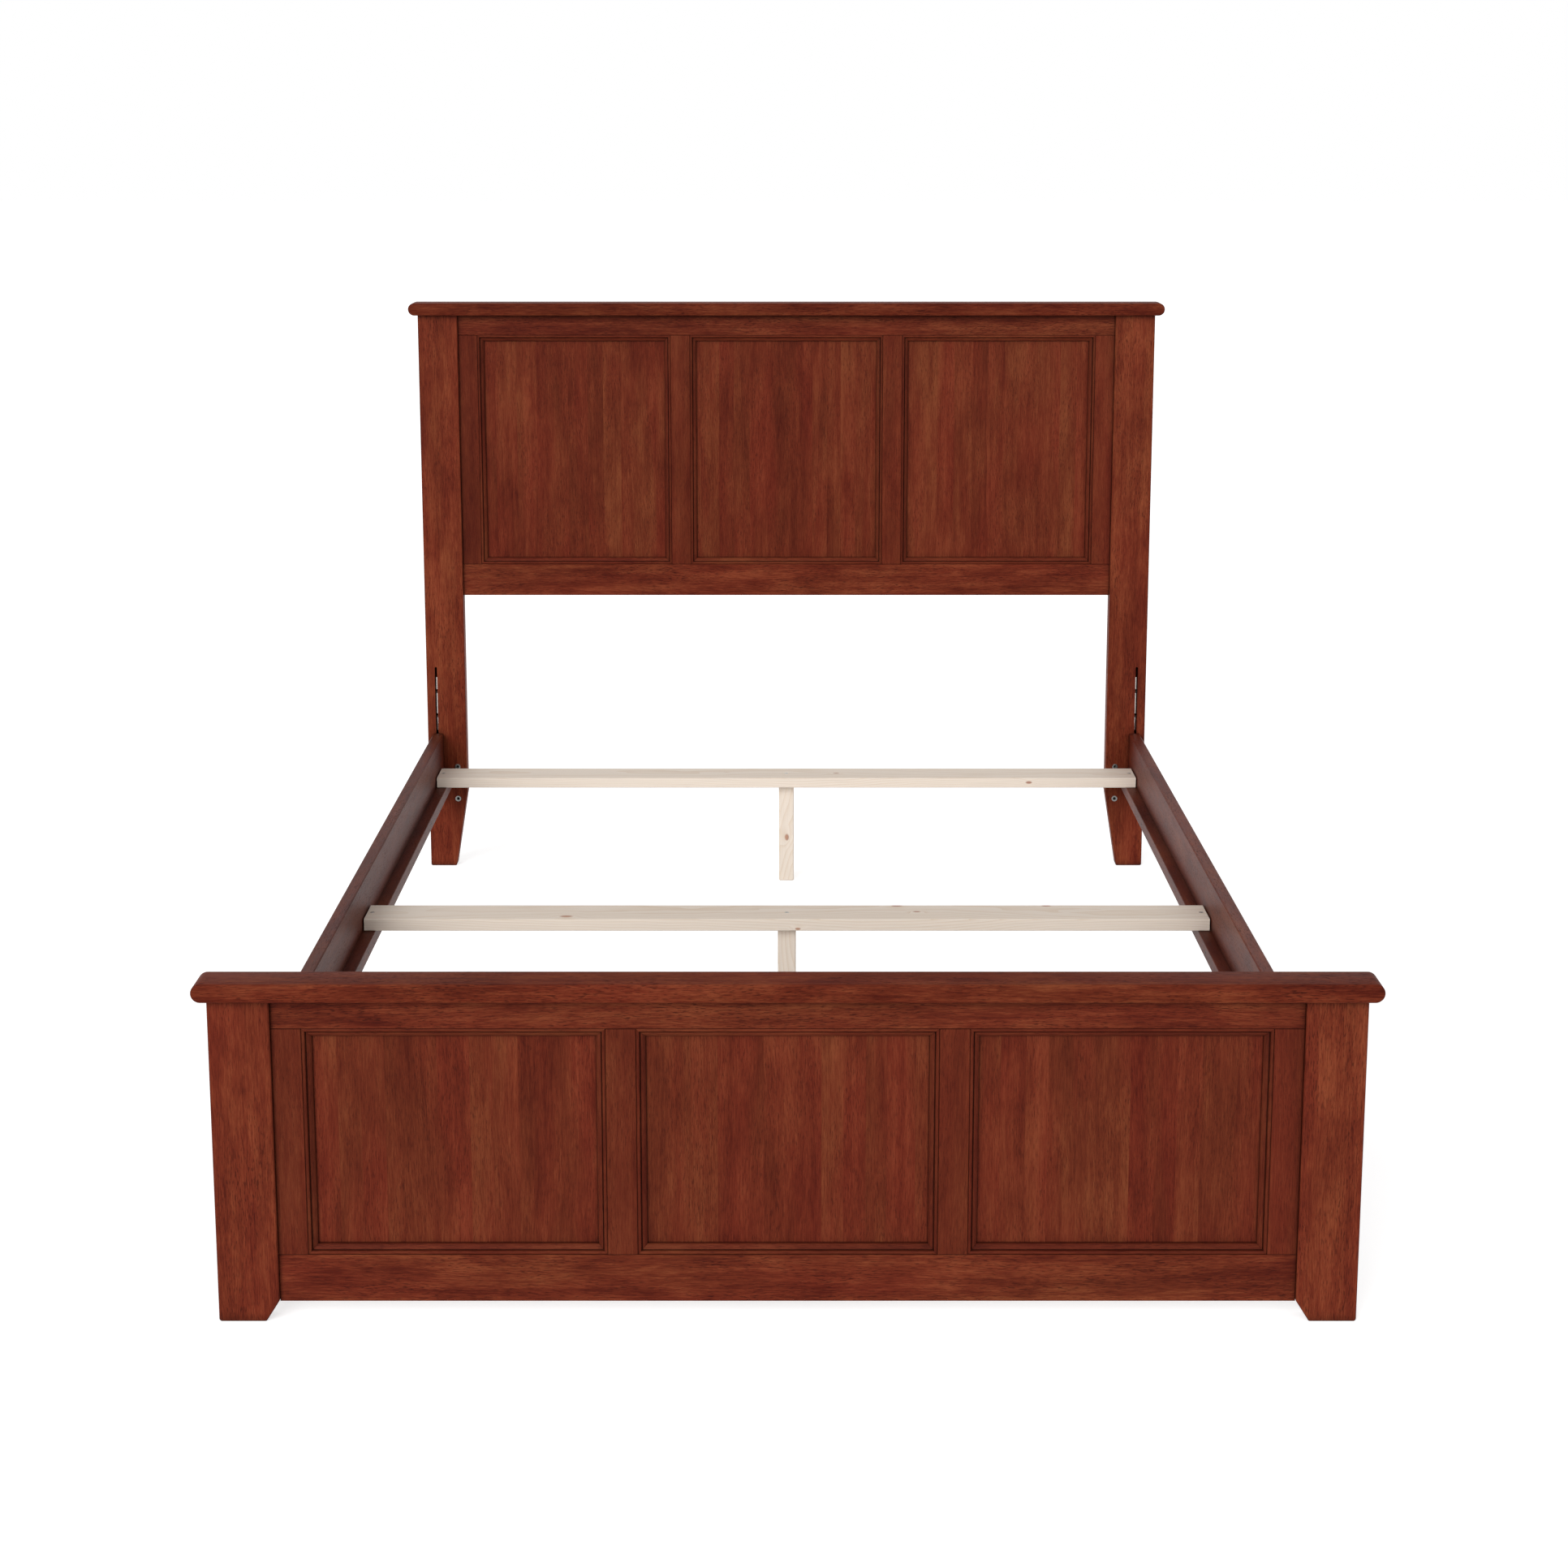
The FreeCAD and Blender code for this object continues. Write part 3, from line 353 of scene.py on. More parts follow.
def joint_lines(tree, axis, places):
    """1 on the rest of the board and less than 1 within a joint's width of each place along an axis: the
    line where two boards meet, which fills with stain."""
    here = axes(tree, own_place(tree))[axis]
    nearest = 1.0
    for spot in places:
        away = maths(tree, "ABSOLUTE", maths(tree, "SUBTRACT", here, spot))
        nearest = maths(tree, "MINIMUM", nearest, away)
    return window(tree, nearest, JOINT_WIDTH * 0.3, JOINT_WIDTH * 2, JOINT_SHADE, 1.0)


def stained_wood(name, grain, seed, light=1.0, figure=1.0, stave=None, joints=None, sheen=LACQUER_SHEEN):
    """Stained hardwood. light scales its tone, figure scales the contrast of its grain, stave is a panel's
    stave width, joints is (axis, places) where other boards meet it, and sheen is how much the lacquer
    mirrors."""
    material, tree, shader = new_material(name)
    place = along_grain(tree, grain, seed)
    if stave:
        stave_value, stave_colour = stave_numbers(tree, place, stave, seed)
        place = vectors(tree, "ADD", place, vectors(tree, "MULTIPLY", stave_colour, STAVE_SHIFT))
    drift = swing(tree, noise(tree, place, DRIFT_PATTERN, 2), DRIFT)
    place = vectors(tree, "ADD", place, add(tree, "CombineXYZ", {0: 0.0, 1: drift, 2: drift}).outputs[0])
    pattern = {key: noise(tree, place, *values) for key, values in PATTERNS.items()}

    tone = maths(tree, "ADD", 0.5, swing(tree, pattern["clouds"], CLOUD_WEIGHT))
    for key, weight in GRAIN_WEIGHTS.items():
        tone = maths(tree, "ADD", tone, swing(tree, pattern[key], weight * figure))
    hue, spread = pattern["hue"], HUE_SPREAD
    if stave:
        tone = maths(tree, "ADD", tone, swing(tree, stave_value, STAVE_TONE))
        hue = maths(tree, "ADD", hue, swing(tree, axes(tree, stave_colour)[1], STAVE_HUE))
        spread = STAVE_HUE_SPREAD
    colour = mixed(tree, window(tree, tone, 0.0, 0.5), MAROON, RED_BROWN)
    colour = mixed(tree, window(tree, tone, 0.5, 1.0), colour, ORANGE)
    lean = mixed(tree, window(tree, hue, 0.5 - spread, 0.5 + spread), REDDER, GREENER)
    colour = mixed(tree, 1.0, colour, lean, "MULTIPLY")
    colour = mixed(tree, 1.0, colour, (light, light, light, 1.0), "MULTIPLY")

    dashes = window(tree, pattern["dashes"], *PORE_DASHES)
    crowded = window(tree, pattern["patches"], *PORE_PATCHES, FEWEST_PORES * figure, MOST_PORES * figure)
    pores = maths(tree, "MULTIPLY", dashes, crowded)
    colour = mixed(tree, pores, colour, PORE)
    # Painted shade: the colour is darkened where little is open in front of the surface, in corners and
    # creases.
    for reach, shade in ((CORNER_REACH, CORNER_SHADE), (CREASE_REACH, CREASE_SHADE)):
        colour = shaded(tree, colour, window(tree, openness(tree, reach), *shade))
    if joints:
        colour = shaded(tree, colour, joint_lines(tree, *joints))

    gloss = window(tree, pattern["fibres"], 0.2, 0.8, *LACQUER_ROUGHNESS)
    roughness = maths(tree, "ADD", gloss, maths(tree, "MULTIPLY", pores, PORE_ROUGHNESS))
    relief = maths(tree, "SUBTRACT", maths(tree, "MULTIPLY", pattern["fibres"], FIBRE_RELIEF), pores)
    shader.inputs["Specular IOR Level"].default_value = sheen
    finish_wood(tree, shader, colour, roughness, relief, strength=0.25, depth=0.0004)
    return material


# %% [markdown]
# Each board gets a grain direction and a seed. Posts, stiles, mullions and panels stand with their grain,
# and the caps, the frame's rails and the side rails lie with it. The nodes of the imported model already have
# the right shape, so a board only needs its material set.

# %% Dress the boards
TOP_RAIL_LIGHT = {"head": 0.88, "foot": 1.0}
PANEL_LIGHT, PANEL_FIGURE, STAVE_WIDTH = 0.97, 1.05, 0.052
SIDE_FIGURE = 1.3


def dress(node, material):
    """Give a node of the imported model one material."""
    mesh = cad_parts[node].data
    mesh.materials.clear()
    mesh.materials.append(material)


seed = 0
for end in ENDS:
    meeting = ("Z", (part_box(end + "_bottom_rail")[1].z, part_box(end + "_top_rail")[0].z))
    for part, grain, light, figure, joints in (
        ("post_left", "z", 1.12, 1.3, None), ("post_right", "z", 1.10, 1.3, None),
        ("stile_left", "z", 0.86, 0.9, meeting), ("stile_right", "z", 0.92, 0.9, meeting),
        ("mullion_left", "z", 0.86, 0.9, meeting), ("mullion_right", "z", 0.91, 0.9, meeting),
        ("top_rail", "x", TOP_RAIL_LIGHT[end], 1.5, None), ("bottom_rail", "x", 1.03, 1.5, None),
    ):
        seed += 1
        stain = stained_wood("stain_%s_%s" % (end, part), grain, seed, light, figure, joints=joints)
        dress("%s_%s" % (end, part), stain)
    for part in ("left", "middle", "right"):
        seed += 1
        name = "stain_%s_panel_%s" % (end, part)
        stain = stained_wood(name, "z", seed, PANEL_LIGHT, PANEL_FIGURE, STAVE_WIDTH)
        dress("%s_panel_%s" % (end, part), stain)
# The left side rail and cleat get a lower light than the right ones: painted shade on the left, where the key
# light leaves their insides darker.
for node, light, sheen in (
    ("side_rail_left", 0.62, 0.11), ("side_rail_right", 0.86, 0.14),
    ("slat_cleat_left", 0.64, 0.12), ("slat_cleat_right", 0.76, 0.12),
):
    seed += 1
    dress(node, stained_wood("stain_" + node, "y", seed, light, SIDE_FIGURE, sheen=sheen))
print(seed, "boards stained")

# %% [markdown]
# ## Bare pine
#
# The slats and the centre legs are planed pine with no finish. Pine shows its growth rings: wide pale bands
# of early wood between thin darker lines of late wood. A board is cut from somewhere inside the trunk, so
# its rings are cylinders round a heart that lies outside the board and wanders a little along it. Measuring
# the distance to that wandering heart gives the flame figure on the faces and arcs on the ends for free.
# Knots are branches: small brown spots that push the rings aside.

# %% Pine
PINE = tint(236, 223, 209)
LATE_WOOD = tint(216, 192, 165)
KNOT = tint(196, 146, 118)
KNOT_HEART = tint(150, 96, 74)
RING_WIDTH = 0.0042
LATE_POWER = 3.0
LATE_STRENGTH = (0.18, 0.60)
HEART_SWAY = 0.16
RING_RIPPLE = 0.010
KNOT_SQUEEZE = {"x": (0.45, 1, 1), "z": (1, 1, 0.6)}
KNOT_PUSH = 0.006
KNOT_STRENGTH = 0.85
PINE_ROUGHNESS = (0.52, 0.66)
PINE_SHEEN = 0.2


def pine(name, grain, seed, heart, knots):
    """Bare pine. heart is the heart's place (across, through) in metres, reckoned from the bed's origin, and
    knots are (place in the bed, radius). Rings are the distance to the heart, plus what the knots add. A
    knot is cut at a slant, so it is longer along the grain: distances to it count for less that way."""
    material, tree, shader = new_material(name)
    slid = along_grain(tree, grain, seed)
    place = own_place(tree)
    parts = axes(tree, place)
    across, through = (parts[axis] for axis in ORDER[grain][1:])
    sway = swing(tree, noise(tree, slid, (1.1, 0.1, 0.1), 1.0), HEART_SWAY)
    ripple = swing(tree, noise(tree, slid, (5, 22, 22), 2.0), RING_RIPPLE)
    side = maths(tree, "SUBTRACT", across, heart[0])
    depth = maths(tree, "ADD", maths(tree, "SUBTRACT", through, heart[1]), sway)
    apart = add(tree, "CombineXYZ", {0: side, 1: depth, 2: 0.0}).outputs[0]
    distance = add(tree, "VectorMath", {0: apart}, operation="LENGTH").outputs["Value"]
    distance = maths(tree, "ADD", distance, ripple)

    spots = 0.0
    squeeze = KNOT_SQUEEZE[grain]
    squeezed = vectors(tree, "MULTIPLY", place, squeeze)
    for spot, radius in knots:
        spot = tuple(value * factor for value, factor in zip(spot, squeeze))
        reach = add(tree, "VectorMath", {0: squeezed, 1: spot}, operation="DISTANCE").outputs["Value"]
        distance = maths(tree, "ADD", distance, window(tree, reach, 0.0, radius * 4, KNOT_PUSH, 0.0))
        spots = maths(tree, "MAXIMUM", spots, window(tree, reach, radius * 0.7, radius * 1.25, 1.0, 0.0))

    turns = maths(tree, "FRACT", maths(tree, "MULTIPLY", distance, 1 / RING_WIDTH))
    late = maths(tree, "POWER", turns, LATE_POWER)
    fibres = noise(tree, slid, (12, 500, 500), 2.0)
    strength = window(tree, noise(tree, slid, (2, 14, 14), 2.0), 0.3, 0.7, *LATE_STRENGTH)
    colour = mixed(tree, maths(tree, "MULTIPLY", late, strength), PINE, LATE_WOOD)
    colour = shaded(tree, colour, window(tree, fibres, 0.25, 0.75, 0.95, 1.03))
    mottled = mixed(tree, window(tree, fibres, 0.4, 0.6), KNOT, KNOT_HEART)
    colour = mixed(tree, maths(tree, "MULTIPLY", spots, KNOT_STRENGTH), colour, mottled)
    shader.inputs["Specular IOR Level"].default_value = PINE_SHEEN
    roughness = window(tree, fibres, 0.2, 0.8, *PINE_ROUGHNESS)
    relief = maths(tree, "ADD", fibres, late)
    finish_wood(tree, shader, colour, roughness, relief, strength=0.15, depth=0.0003)
    return material


# %% [markdown]
# The largest knots stand where the picture shows them. A slat's knot is given by its x, its place across the
# slat from the middle, how far it lies under the slat's top, and its radius. A leg's knot lies on the face
# towards the foot and is given by its x, its height and its radius.

# %% Dress the slats and legs
PLACES = ("head", "middle", "foot")
SLAT_Y = {place: sum(corner.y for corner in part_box("slat_" + place)) / 2 for place in PLACES}
SLAT_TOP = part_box("slat_middle")[1].z
HALF_SLAT = (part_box("slat_middle")[1].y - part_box("slat_middle")[0].y) / 2
HALF_LEG = 0.0165
SLAT_KNOTS = {
    "head": [(0.533, -HALF_SLAT, 0.010, 0.003), (0.11, 0.0, 0.0, 0.003)],
    "middle": [
        (-0.402, -0.023, 0.0, 0.0050), (0.203, 0.036, 0.0, 0.0045), (0.238, 0.003, 0.0, 0.0030),
        (0.479, 0.036, 0.0, 0.0040), (0.020, -HALF_SLAT, 0.018, 0.0022),
    ],
    "foot": [(0.33, 0.012, 0.0, 0.005), (-0.2, -HALF_SLAT, 0.010, 0.003)],
}
LEG_KNOTS = {"head": (0.001, 0.100, 0.0045), "middle": (0.004, 0.060, 0.004), "foot": (-0.005, 0.150, 0.004)}
for number, place in enumerate(PLACES):
    knots = [((x, SLAT_Y[place] + y, SLAT_TOP - under), radius) for x, y, under, radius in SLAT_KNOTS[place]]
    heart = (SLAT_TOP - 0.10, SLAT_Y[place] + 0.02 * number)
    dress("slat_" + place, pine("pine_slat_" + place, "x", 31 + number, heart, knots))
    x, height, radius = LEG_KNOTS[place]
    knots = [((x, SLAT_Y[place] - HALF_LEG, height), radius)]
    heart = (0.03, SLAT_Y[place] + 0.05)
    dress("centre_leg_" + place, pine("pine_leg_" + place, "z", 41 + number, heart, knots))
print("slats at y =", [round(value, 4) for value in SLAT_Y.values()])

# %% [markdown]
# ## Beech dowels and four finishes of steel
#
# The dowels are hidden under the caps, but they are real pieces and get real wood. Most of the steel is zinc
# plated: a pale metal with a fine crystalline mottle and the marks of being tumbled, so its roughness varies
# in small spots. The insert nuts are plated too, but duller. Hollows such as a screw's cross or a nut's
# socket are darkened in colour: painted shade, standing in for the shade inside them. The pins and the
# screws in the stained wood are blackened, so that they hardly show, and the strips in the slots are bright
# rolled steel. One function makes all four, from their colours and roughnesses.

# %% Beech and steel
BEECH = tint(206, 172, 130)
DARKER_BEECH = tint(188, 150, 108)
BEECH_FLECK = tint(140, 100, 68)
RECESS_REACH = 0.004
RECESS_SHADE = (0.25, 0.8, 0.05, 1.0)


def beech(name, seed):
    """Beech: pale wood with tiny dark flecks along the grain."""
    material, tree, shader = new_material(name)
    place = along_grain(tree, "z", seed)
    flecks = window(tree, noise(tree, place, (260, 1600, 1600), 1.0), 0.60, 0.72)
    ground = mixed(tree, noise(tree, place, (20, 300, 300), 2.0), BEECH, DARKER_BEECH)
    colour = mixed(tree, maths(tree, "MULTIPLY", flecks, 0.6), ground, BEECH_FLECK)
    tree.links.new(colour, shader.inputs["Base Color"])
    shader.inputs["Roughness"].default_value = 0.6
    return material


def steel(name, dark, pale, smooth, dull, painted_recess_shade=True):
    """Steel whose finish is mottled between two colours and between two roughnesses. Unless that is switched
    off, places with something close in front of them are darker: painted shade in hollows."""
    material, tree, shader = new_material(name)
    place = own_place(tree)
    finish = mixed(tree, noise(tree, place, (900, 900, 900), 3.0), dark, pale)
    # Painted shade in hollows such as a screw's cross or a nut's socket.
    if painted_recess_shade:
        finish = shaded(tree, finish, window(tree, openness(tree, RECESS_REACH), *RECESS_SHADE))
    tree.links.new(finish, shader.inputs["Base Color"])
    worn = noise(tree, place, (160, 160, 160), 2.0)
    tree.links.new(window(tree, worn, 0.3, 0.7, smooth, dull), shader.inputs["Roughness"])
    shader.inputs["Metallic"].default_value = 1.0
    return material


ZINC = steel("zinc_plate", tint(176, 176, 172), tint(214, 212, 206), 0.22, 0.42)
DULL_ZINC = steel("dull_zinc_plate", tint(112, 112, 110), tint(152, 151, 148), 0.28, 0.46)
BRIGHT = steel("bright_strip", tint(204, 200, 195), tint(224, 220, 214), 0.06, 0.14, painted_recess_shade=False)
BLACKENED = steel("blackened_steel", tint(52, 46, 44), tint(82, 74, 70), 0.35, 0.5)
for end in ENDS:
    dress(end + "_cap_dowels", beech("beech_%s_dowels" % end, 50))
    for side in ("left", "right"):
        dress("hook_plate_%s_%s" % (end, side), ZINC)
print("steel and dowels dressed")

# %% [markdown]
# ## The caps
#
# Each board wears a thick cap. Seen from the foot its ends are half rounds, and its long edges are just
# eased with a plane and sandpaper. It could be a box with bevels, but the end must be a true half round. So
# the section is the cap's outline as seen from the foot: a stadium, two half circles joined by straight
# lines. The section travels through the depth of the cap. Where it nears the front and back faces it shrinks
# along a quarter circle, which is the eased edge, and on the faces themselves it shrinks to the line in its
# middle.

# %% Caps
CAP_EASE = 0.0025
ROUND_STEPS = 28
EASE_STEPS = 6
CAP_LIGHT = {"head": 0.84, "foot": 0.99}
CAP_FIGURE = 1.5
CAP_SHEEN = 0.035


def stadium(half_length, radius, inset):
    """Points of a stadium as (across, up): a half circle of radius minus inset about each end of its middle
    line. inset may be a column of values, which gives one stadium for each."""
    angle = np.linspace(-np.pi / 2, np.pi / 2, ROUND_STEPS)
    shrunk = radius - inset
    right = half_length + shrunk * np.cos(angle), shrunk * np.sin(angle)
    left = -half_length - shrunk * np.cos(angle), -shrunk * np.sin(angle)
    return np.concatenate([right[0], left[0]], axis=-1), np.concatenate([right[1], left[1]], axis=-1)


def cap(end, material):
    """A cap in place of its node: stadiums through the depth, drawn in along a quarter circle at both
    faces."""
    low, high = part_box(end + "_cap")
    radius = (high.z - low.z) / 2
    half_length = (high.x - low.x) / 2 - radius
    quarter = np.linspace(0, np.pi / 2, EASE_STEPS)
    front_inset = np.concatenate([[radius], CAP_EASE * (1 - np.sin(quarter))])
    front_depth = np.concatenate([[0.0], CAP_EASE * (1 - np.cos(quarter))])
    inset = np.concatenate([front_inset, front_inset[::-1]])[:, None]
    depth = np.concatenate([low.y + front_depth, high.y - front_depth[::-1]])
    across, up = stadium(half_length, radius, inset)
    middle = (low.x + high.x) / 2, (low.z + high.z) / 2
    behind = np.broadcast_to(depth[:, None], across.shape)
    points = np.stack([middle[0] + across, behind, middle[1] + up], axis=-1)
    piece = make_piece(end + "_cap_board", points, grid_faces(*across.shape)[:, ::-1], [material])
    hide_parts(end + "_cap")
    return piece


for number, end in enumerate(ENDS):
    stain = stained_wood("stain_%s_cap" % end, "x", 61 + number, CAP_LIGHT[end], CAP_FIGURE, sheen=CAP_SHEEN)
    board = cap(end, stain)
    print(board.name, len(board.data.polygons), "faces")

# %% [markdown]
# ## The mouldings
#
# Round each panel run four strips of moulding, mitred at the corners: a bead along the frame, a narrow
# shallow quirk that reads as a dark line, and a gently rounded slope down to the panel. The four strips are
# one profile carried round a rectangle. At a corner the profile is stretched along the diagonal, which is
# just what a mitre does. Each strip keeps its own corners and its own grain, so the mitre shows as a fine
# line where the grain turns.

# %% Mouldings
BEAD_POINTS = 9
BEAD_WIDTH = 0.005
BEAD_CROWN = 0.0014
BEAD_UNDER_FRAME = 0.0017
QUIRK = [[0.0052, 0.0066], [0.0058, 0.0061], [0.0064, 0.0061]]
SLOPE_POINTS = 7
SLOPE_START, SLOPE_START_HEIGHT = 0.0069, 0.0072
SLOPE_WIDTH, SLOPE_FALL, SLOPE_ROUNDING = 0.0063, 0.0040, 0.0007
FOOT_WIDTH = 0.0136
OVER_NODE = 0.0003
MITRE_GAP = 0.00015
MOULDING_SHARP_ANGLE = 38
# The upright strips get a lower light than the lying ones: painted shade on the upright strips.
LYING_LIGHT, STANDING_LIGHT = 0.90, 0.76


def moulding_profile(depth):
    """The profile from the frame to the panel, as (width from the frame, height above the panel's face). A
    bead: an arc from the frame's edge over its crown. A quirk: a slot with a sloping side and a flat bottom.
    A slope: a straight fall plus half a wave, which rounds it. depth is the frame's face above the
    panel's."""
    turn = np.linspace(0, np.pi, BEAD_POINTS)
    bead_across = BEAD_WIDTH / 2 - BEAD_WIDTH / 2 * np.cos(turn)
    bead = np.stack([bead_across, depth - BEAD_UNDER_FRAME + BEAD_CROWN * np.sin(turn)], axis=-1)
    run = np.linspace(0, 1, SLOPE_POINTS)
    slope_height = SLOPE_START_HEIGHT - SLOPE_FALL * run + SLOPE_ROUNDING * np.sin(np.pi * run)
    slope = np.stack([SLOPE_START + SLOPE_WIDTH * run, slope_height], axis=-1)
    return np.concatenate([[[0.0, 0.0]], bead, QUIRK, slope, [[FOOT_WIDTH, 0.0]]])


def moulding(end, which, lying, standing):
    """Four mitred strips in place of a moulding node. Strip k's two end sections are the profile placed at
    its two corners of the opening, each point moved inwards on both axes by its own width: that is the
    mitre."""
    low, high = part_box("%s_moulding_%s" % (end, which))
    panel_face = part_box("%s_panel_%s" % (end, which))[0].y
    profile = moulding_profile(panel_face - low.y + OVER_NODE)
    width, height = profile[:, 0], profile[:, 1]
    count = len(width)
    corners = np.array([[low.x, low.z], [high.x, low.z], [high.x, high.z], [low.x, high.z]])
    inwards = np.array([[1, 1], [-1, 1], [-1, -1], [1, -1]])
    strips, faces, slots = [], [], []
    for k in range(4):
        first, second = k, (k + 1) % 4
        along = (corners[second] - corners[first]) / np.linalg.norm(corners[second] - corners[first])
        start = 2 * count * k
        for corner, sign in ((first, 1), (second, -1)):
            flat = corners[corner] + width[:, None] * inwards[corner] + sign * MITRE_GAP * along
            strips.append(np.stack([flat[:, 0], panel_face - height, flat[:, 1]], axis=-1))
        faces += (grid_faces(2, count)[:, ::-1] + start).tolist()
        first_end, second_end = start + np.arange(count), start + count + np.arange(count)
        faces += [first_end.tolist(), second_end[::-1].tolist()]
        slots += [k % 2] * (count + 2)
    name = "%s_moulding_strips_%s" % (end, which)
    piece = make_piece(name, np.concatenate(strips), faces, [lying, standing], slots, MOULDING_SHARP_ANGLE)
    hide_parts("%s_moulding_%s" % (end, which))
    return piece


for end in ENDS:
    lying = stained_wood("stain_%s_lying_moulding" % end, "x", 71, LYING_LIGHT)
    standing = stained_wood("stain_%s_standing_moulding" % end, "z", 72, STANDING_LIGHT)
    for which in ("left", "middle", "right"):
        strips = moulding(end, which, lying, standing)
    print(end, "mouldings,", len(strips.data.polygons), "faces each")

# %% [markdown]
# ## Screws
#
# A countersunk wood screw is a shape turned on an axis, with a cross recess in its head. A turned shape is a
# profile of (radius, height) pairs swept round a circle. The recess is the same surface pressed down: where
# a point of the head lies inside one of the two arms of the cross, its height drops, most in the middle.

# %% Screws
HEAD_RADIUS, SHANK_RADIUS = 0.004, 0.002
SCREW_TURNS = 48
FACE_RINGS, FACE_SHARE = 15, 0.93
ARM_HALF_WIDTH, ARM_REACH = 0.19 * HEAD_RADIUS, 0.62 * HEAD_RADIUS
ARM_STEEPNESS = 5.0
CROSS_DEPTH, CROSS_CONE = 0.0017, 1.35 * ARM_REACH


def swept(profile, turns):
    """Grid of a profile of (radius, height) pairs turned round the z axis in so many steps."""
    angle = np.linspace(0, 2 * np.pi, turns, endpoint=False)
    x, y = profile[:, :1] * np.cos(angle), profile[:, :1] * np.sin(angle)
    return np.stack([x, y, np.repeat(profile[:, 1:], turns, axis=1)], axis=-1)


def screw_surface(length):
    """Grid of a screw with its head's face at height 0 and its shank down -z: rings of the turned profile,
    with the face's rings pressed down by a cross. An arm is as deep as the point is inside it, up to a limit
    that falls from the middle to the arm's end."""
    face = np.linspace(0.0, FACE_SHARE, FACE_RINGS) * HEAD_RADIUS
    rim = [[HEAD_RADIUS, -0.0002], [HEAD_RADIUS, -0.0005], [SHANK_RADIUS, -0.0024]]
    shank = [[SHANK_RADIUS, -length + 0.006], [0.0004, -length + 0.0002], [0.0, -length]]
    head = np.stack([face, np.zeros_like(face)], axis=-1)
    surface = swept(np.concatenate([head, rim, shank]), SCREW_TURNS)
    x, y = abs(surface[:FACE_RINGS, :, 0]), abs(surface[:FACE_RINGS, :, 1])
    upright = np.minimum(ARM_HALF_WIDTH - x, ARM_REACH - y)
    sideways = np.minimum(ARM_HALF_WIDTH - y, ARM_REACH - x)
    inside = np.clip(np.maximum(upright, sideways), 0, None)
    floor = CROSS_DEPTH * np.clip(1 - np.hypot(x, y) / CROSS_CONE, 0.0, 1.0)
    surface[:FACE_RINGS, :, 2] -= np.minimum(inside * ARM_STEEPNESS, floor)
    return surface


def placed(surface, spot, axis):
    """The surface moved so that its origin is at the spot and its +z runs along an axis of the bed."""
    up = np.array(axis, dtype=float)
    helper = np.array([0.0, 1.0, 0.0]) if abs(up[1]) < 0.5 else np.array([1.0, 0.0, 0.0])
    side = np.cross(helper, up)
    third = np.cross(up, side)
    turned = surface[..., :1] * side + surface[..., 1:2] * third + surface[..., 2:] * up
    return turned + np.array(spot)


def repeat(name, node, surfaces, material):
    """One piece made of several grids, which stands for a node."""
    faces, start = [], 0
    for surface in surfaces:
        faces.append(grid_faces(*surface.shape[:2]) + start)
        start += surface.shape[0] * surface.shape[1]
    points = np.concatenate([surface.reshape(-1, 3) for surface in surfaces])
    piece = make_piece(name, points, np.concatenate(faces), [material])
    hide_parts(node)
    print(name, len(surfaces), "copies,", len(piece.data.polygons), "faces")


def inwards(low, high):
    """The way to the bed's middle from a screw in a side."""
    return (-np.sign(low[0] + high[0]), 0, 0)


def upwards(low, high):
    """The way up, for every screw alike."""
    return (0, 0, 1)


def screws(node, facing, material):
    """A screw for each solid of a node. facing(low, high) gives the way its head faces."""
    made = []
    for low, high in islands(node):
        axis = np.array(facing(low, high), dtype=float)
        half = (high - low) / 2
        made.append(placed(screw_surface(float(2 * abs(axis @ half))), (low + high) / 2 + axis * half, axis))
    repeat(node + "_turned", node, made, material)


screws("cleat_screws", inwards, BLACKENED)
screws("hook_plate_screws", inwards, BLACKENED)
screws("slat_screws", upwards, ZINC)
screws("leg_screws", upwards, ZINC)

# %% [markdown]
# ## Insert nuts
#
# Low on the inside of each head post sit two insert nuts for a bolted-on rail bracket. What shows is a pale
# steel ring with a dark six-sided socket. The surface starts on the axis at the bottom of the bore, comes up
# the socket's wall, turns over its edge, crosses the flange and goes down the barrel outside. The socket is
# six-sided because the radius of its rings follows a hexagon: the flat's distance over the cosine of the
# angle.

# %% Insert nuts
NUT_TURNS = 72
BORE_RADIUS, BARREL_RADIUS = 0.0024, 0.0048
FLANGE_RADIUS, FLANGE_THICKNESS = 0.0065, 0.0015
SOCKET_FLATS, SOCKET_DEPTH, SOCKET_EASE = 0.0060, 0.0040, 0.0003
BORE_END = 0.001


def hexagon(across_flats, angle):
    """Distance to a hexagon's edge in each direction: half the width over flats, over the cosine of the
    angle to the nearest flat's middle."""
    return across_flats / 2 / np.cos((angle + np.pi / 6) % (np.pi / 3) - np.pi / 6)


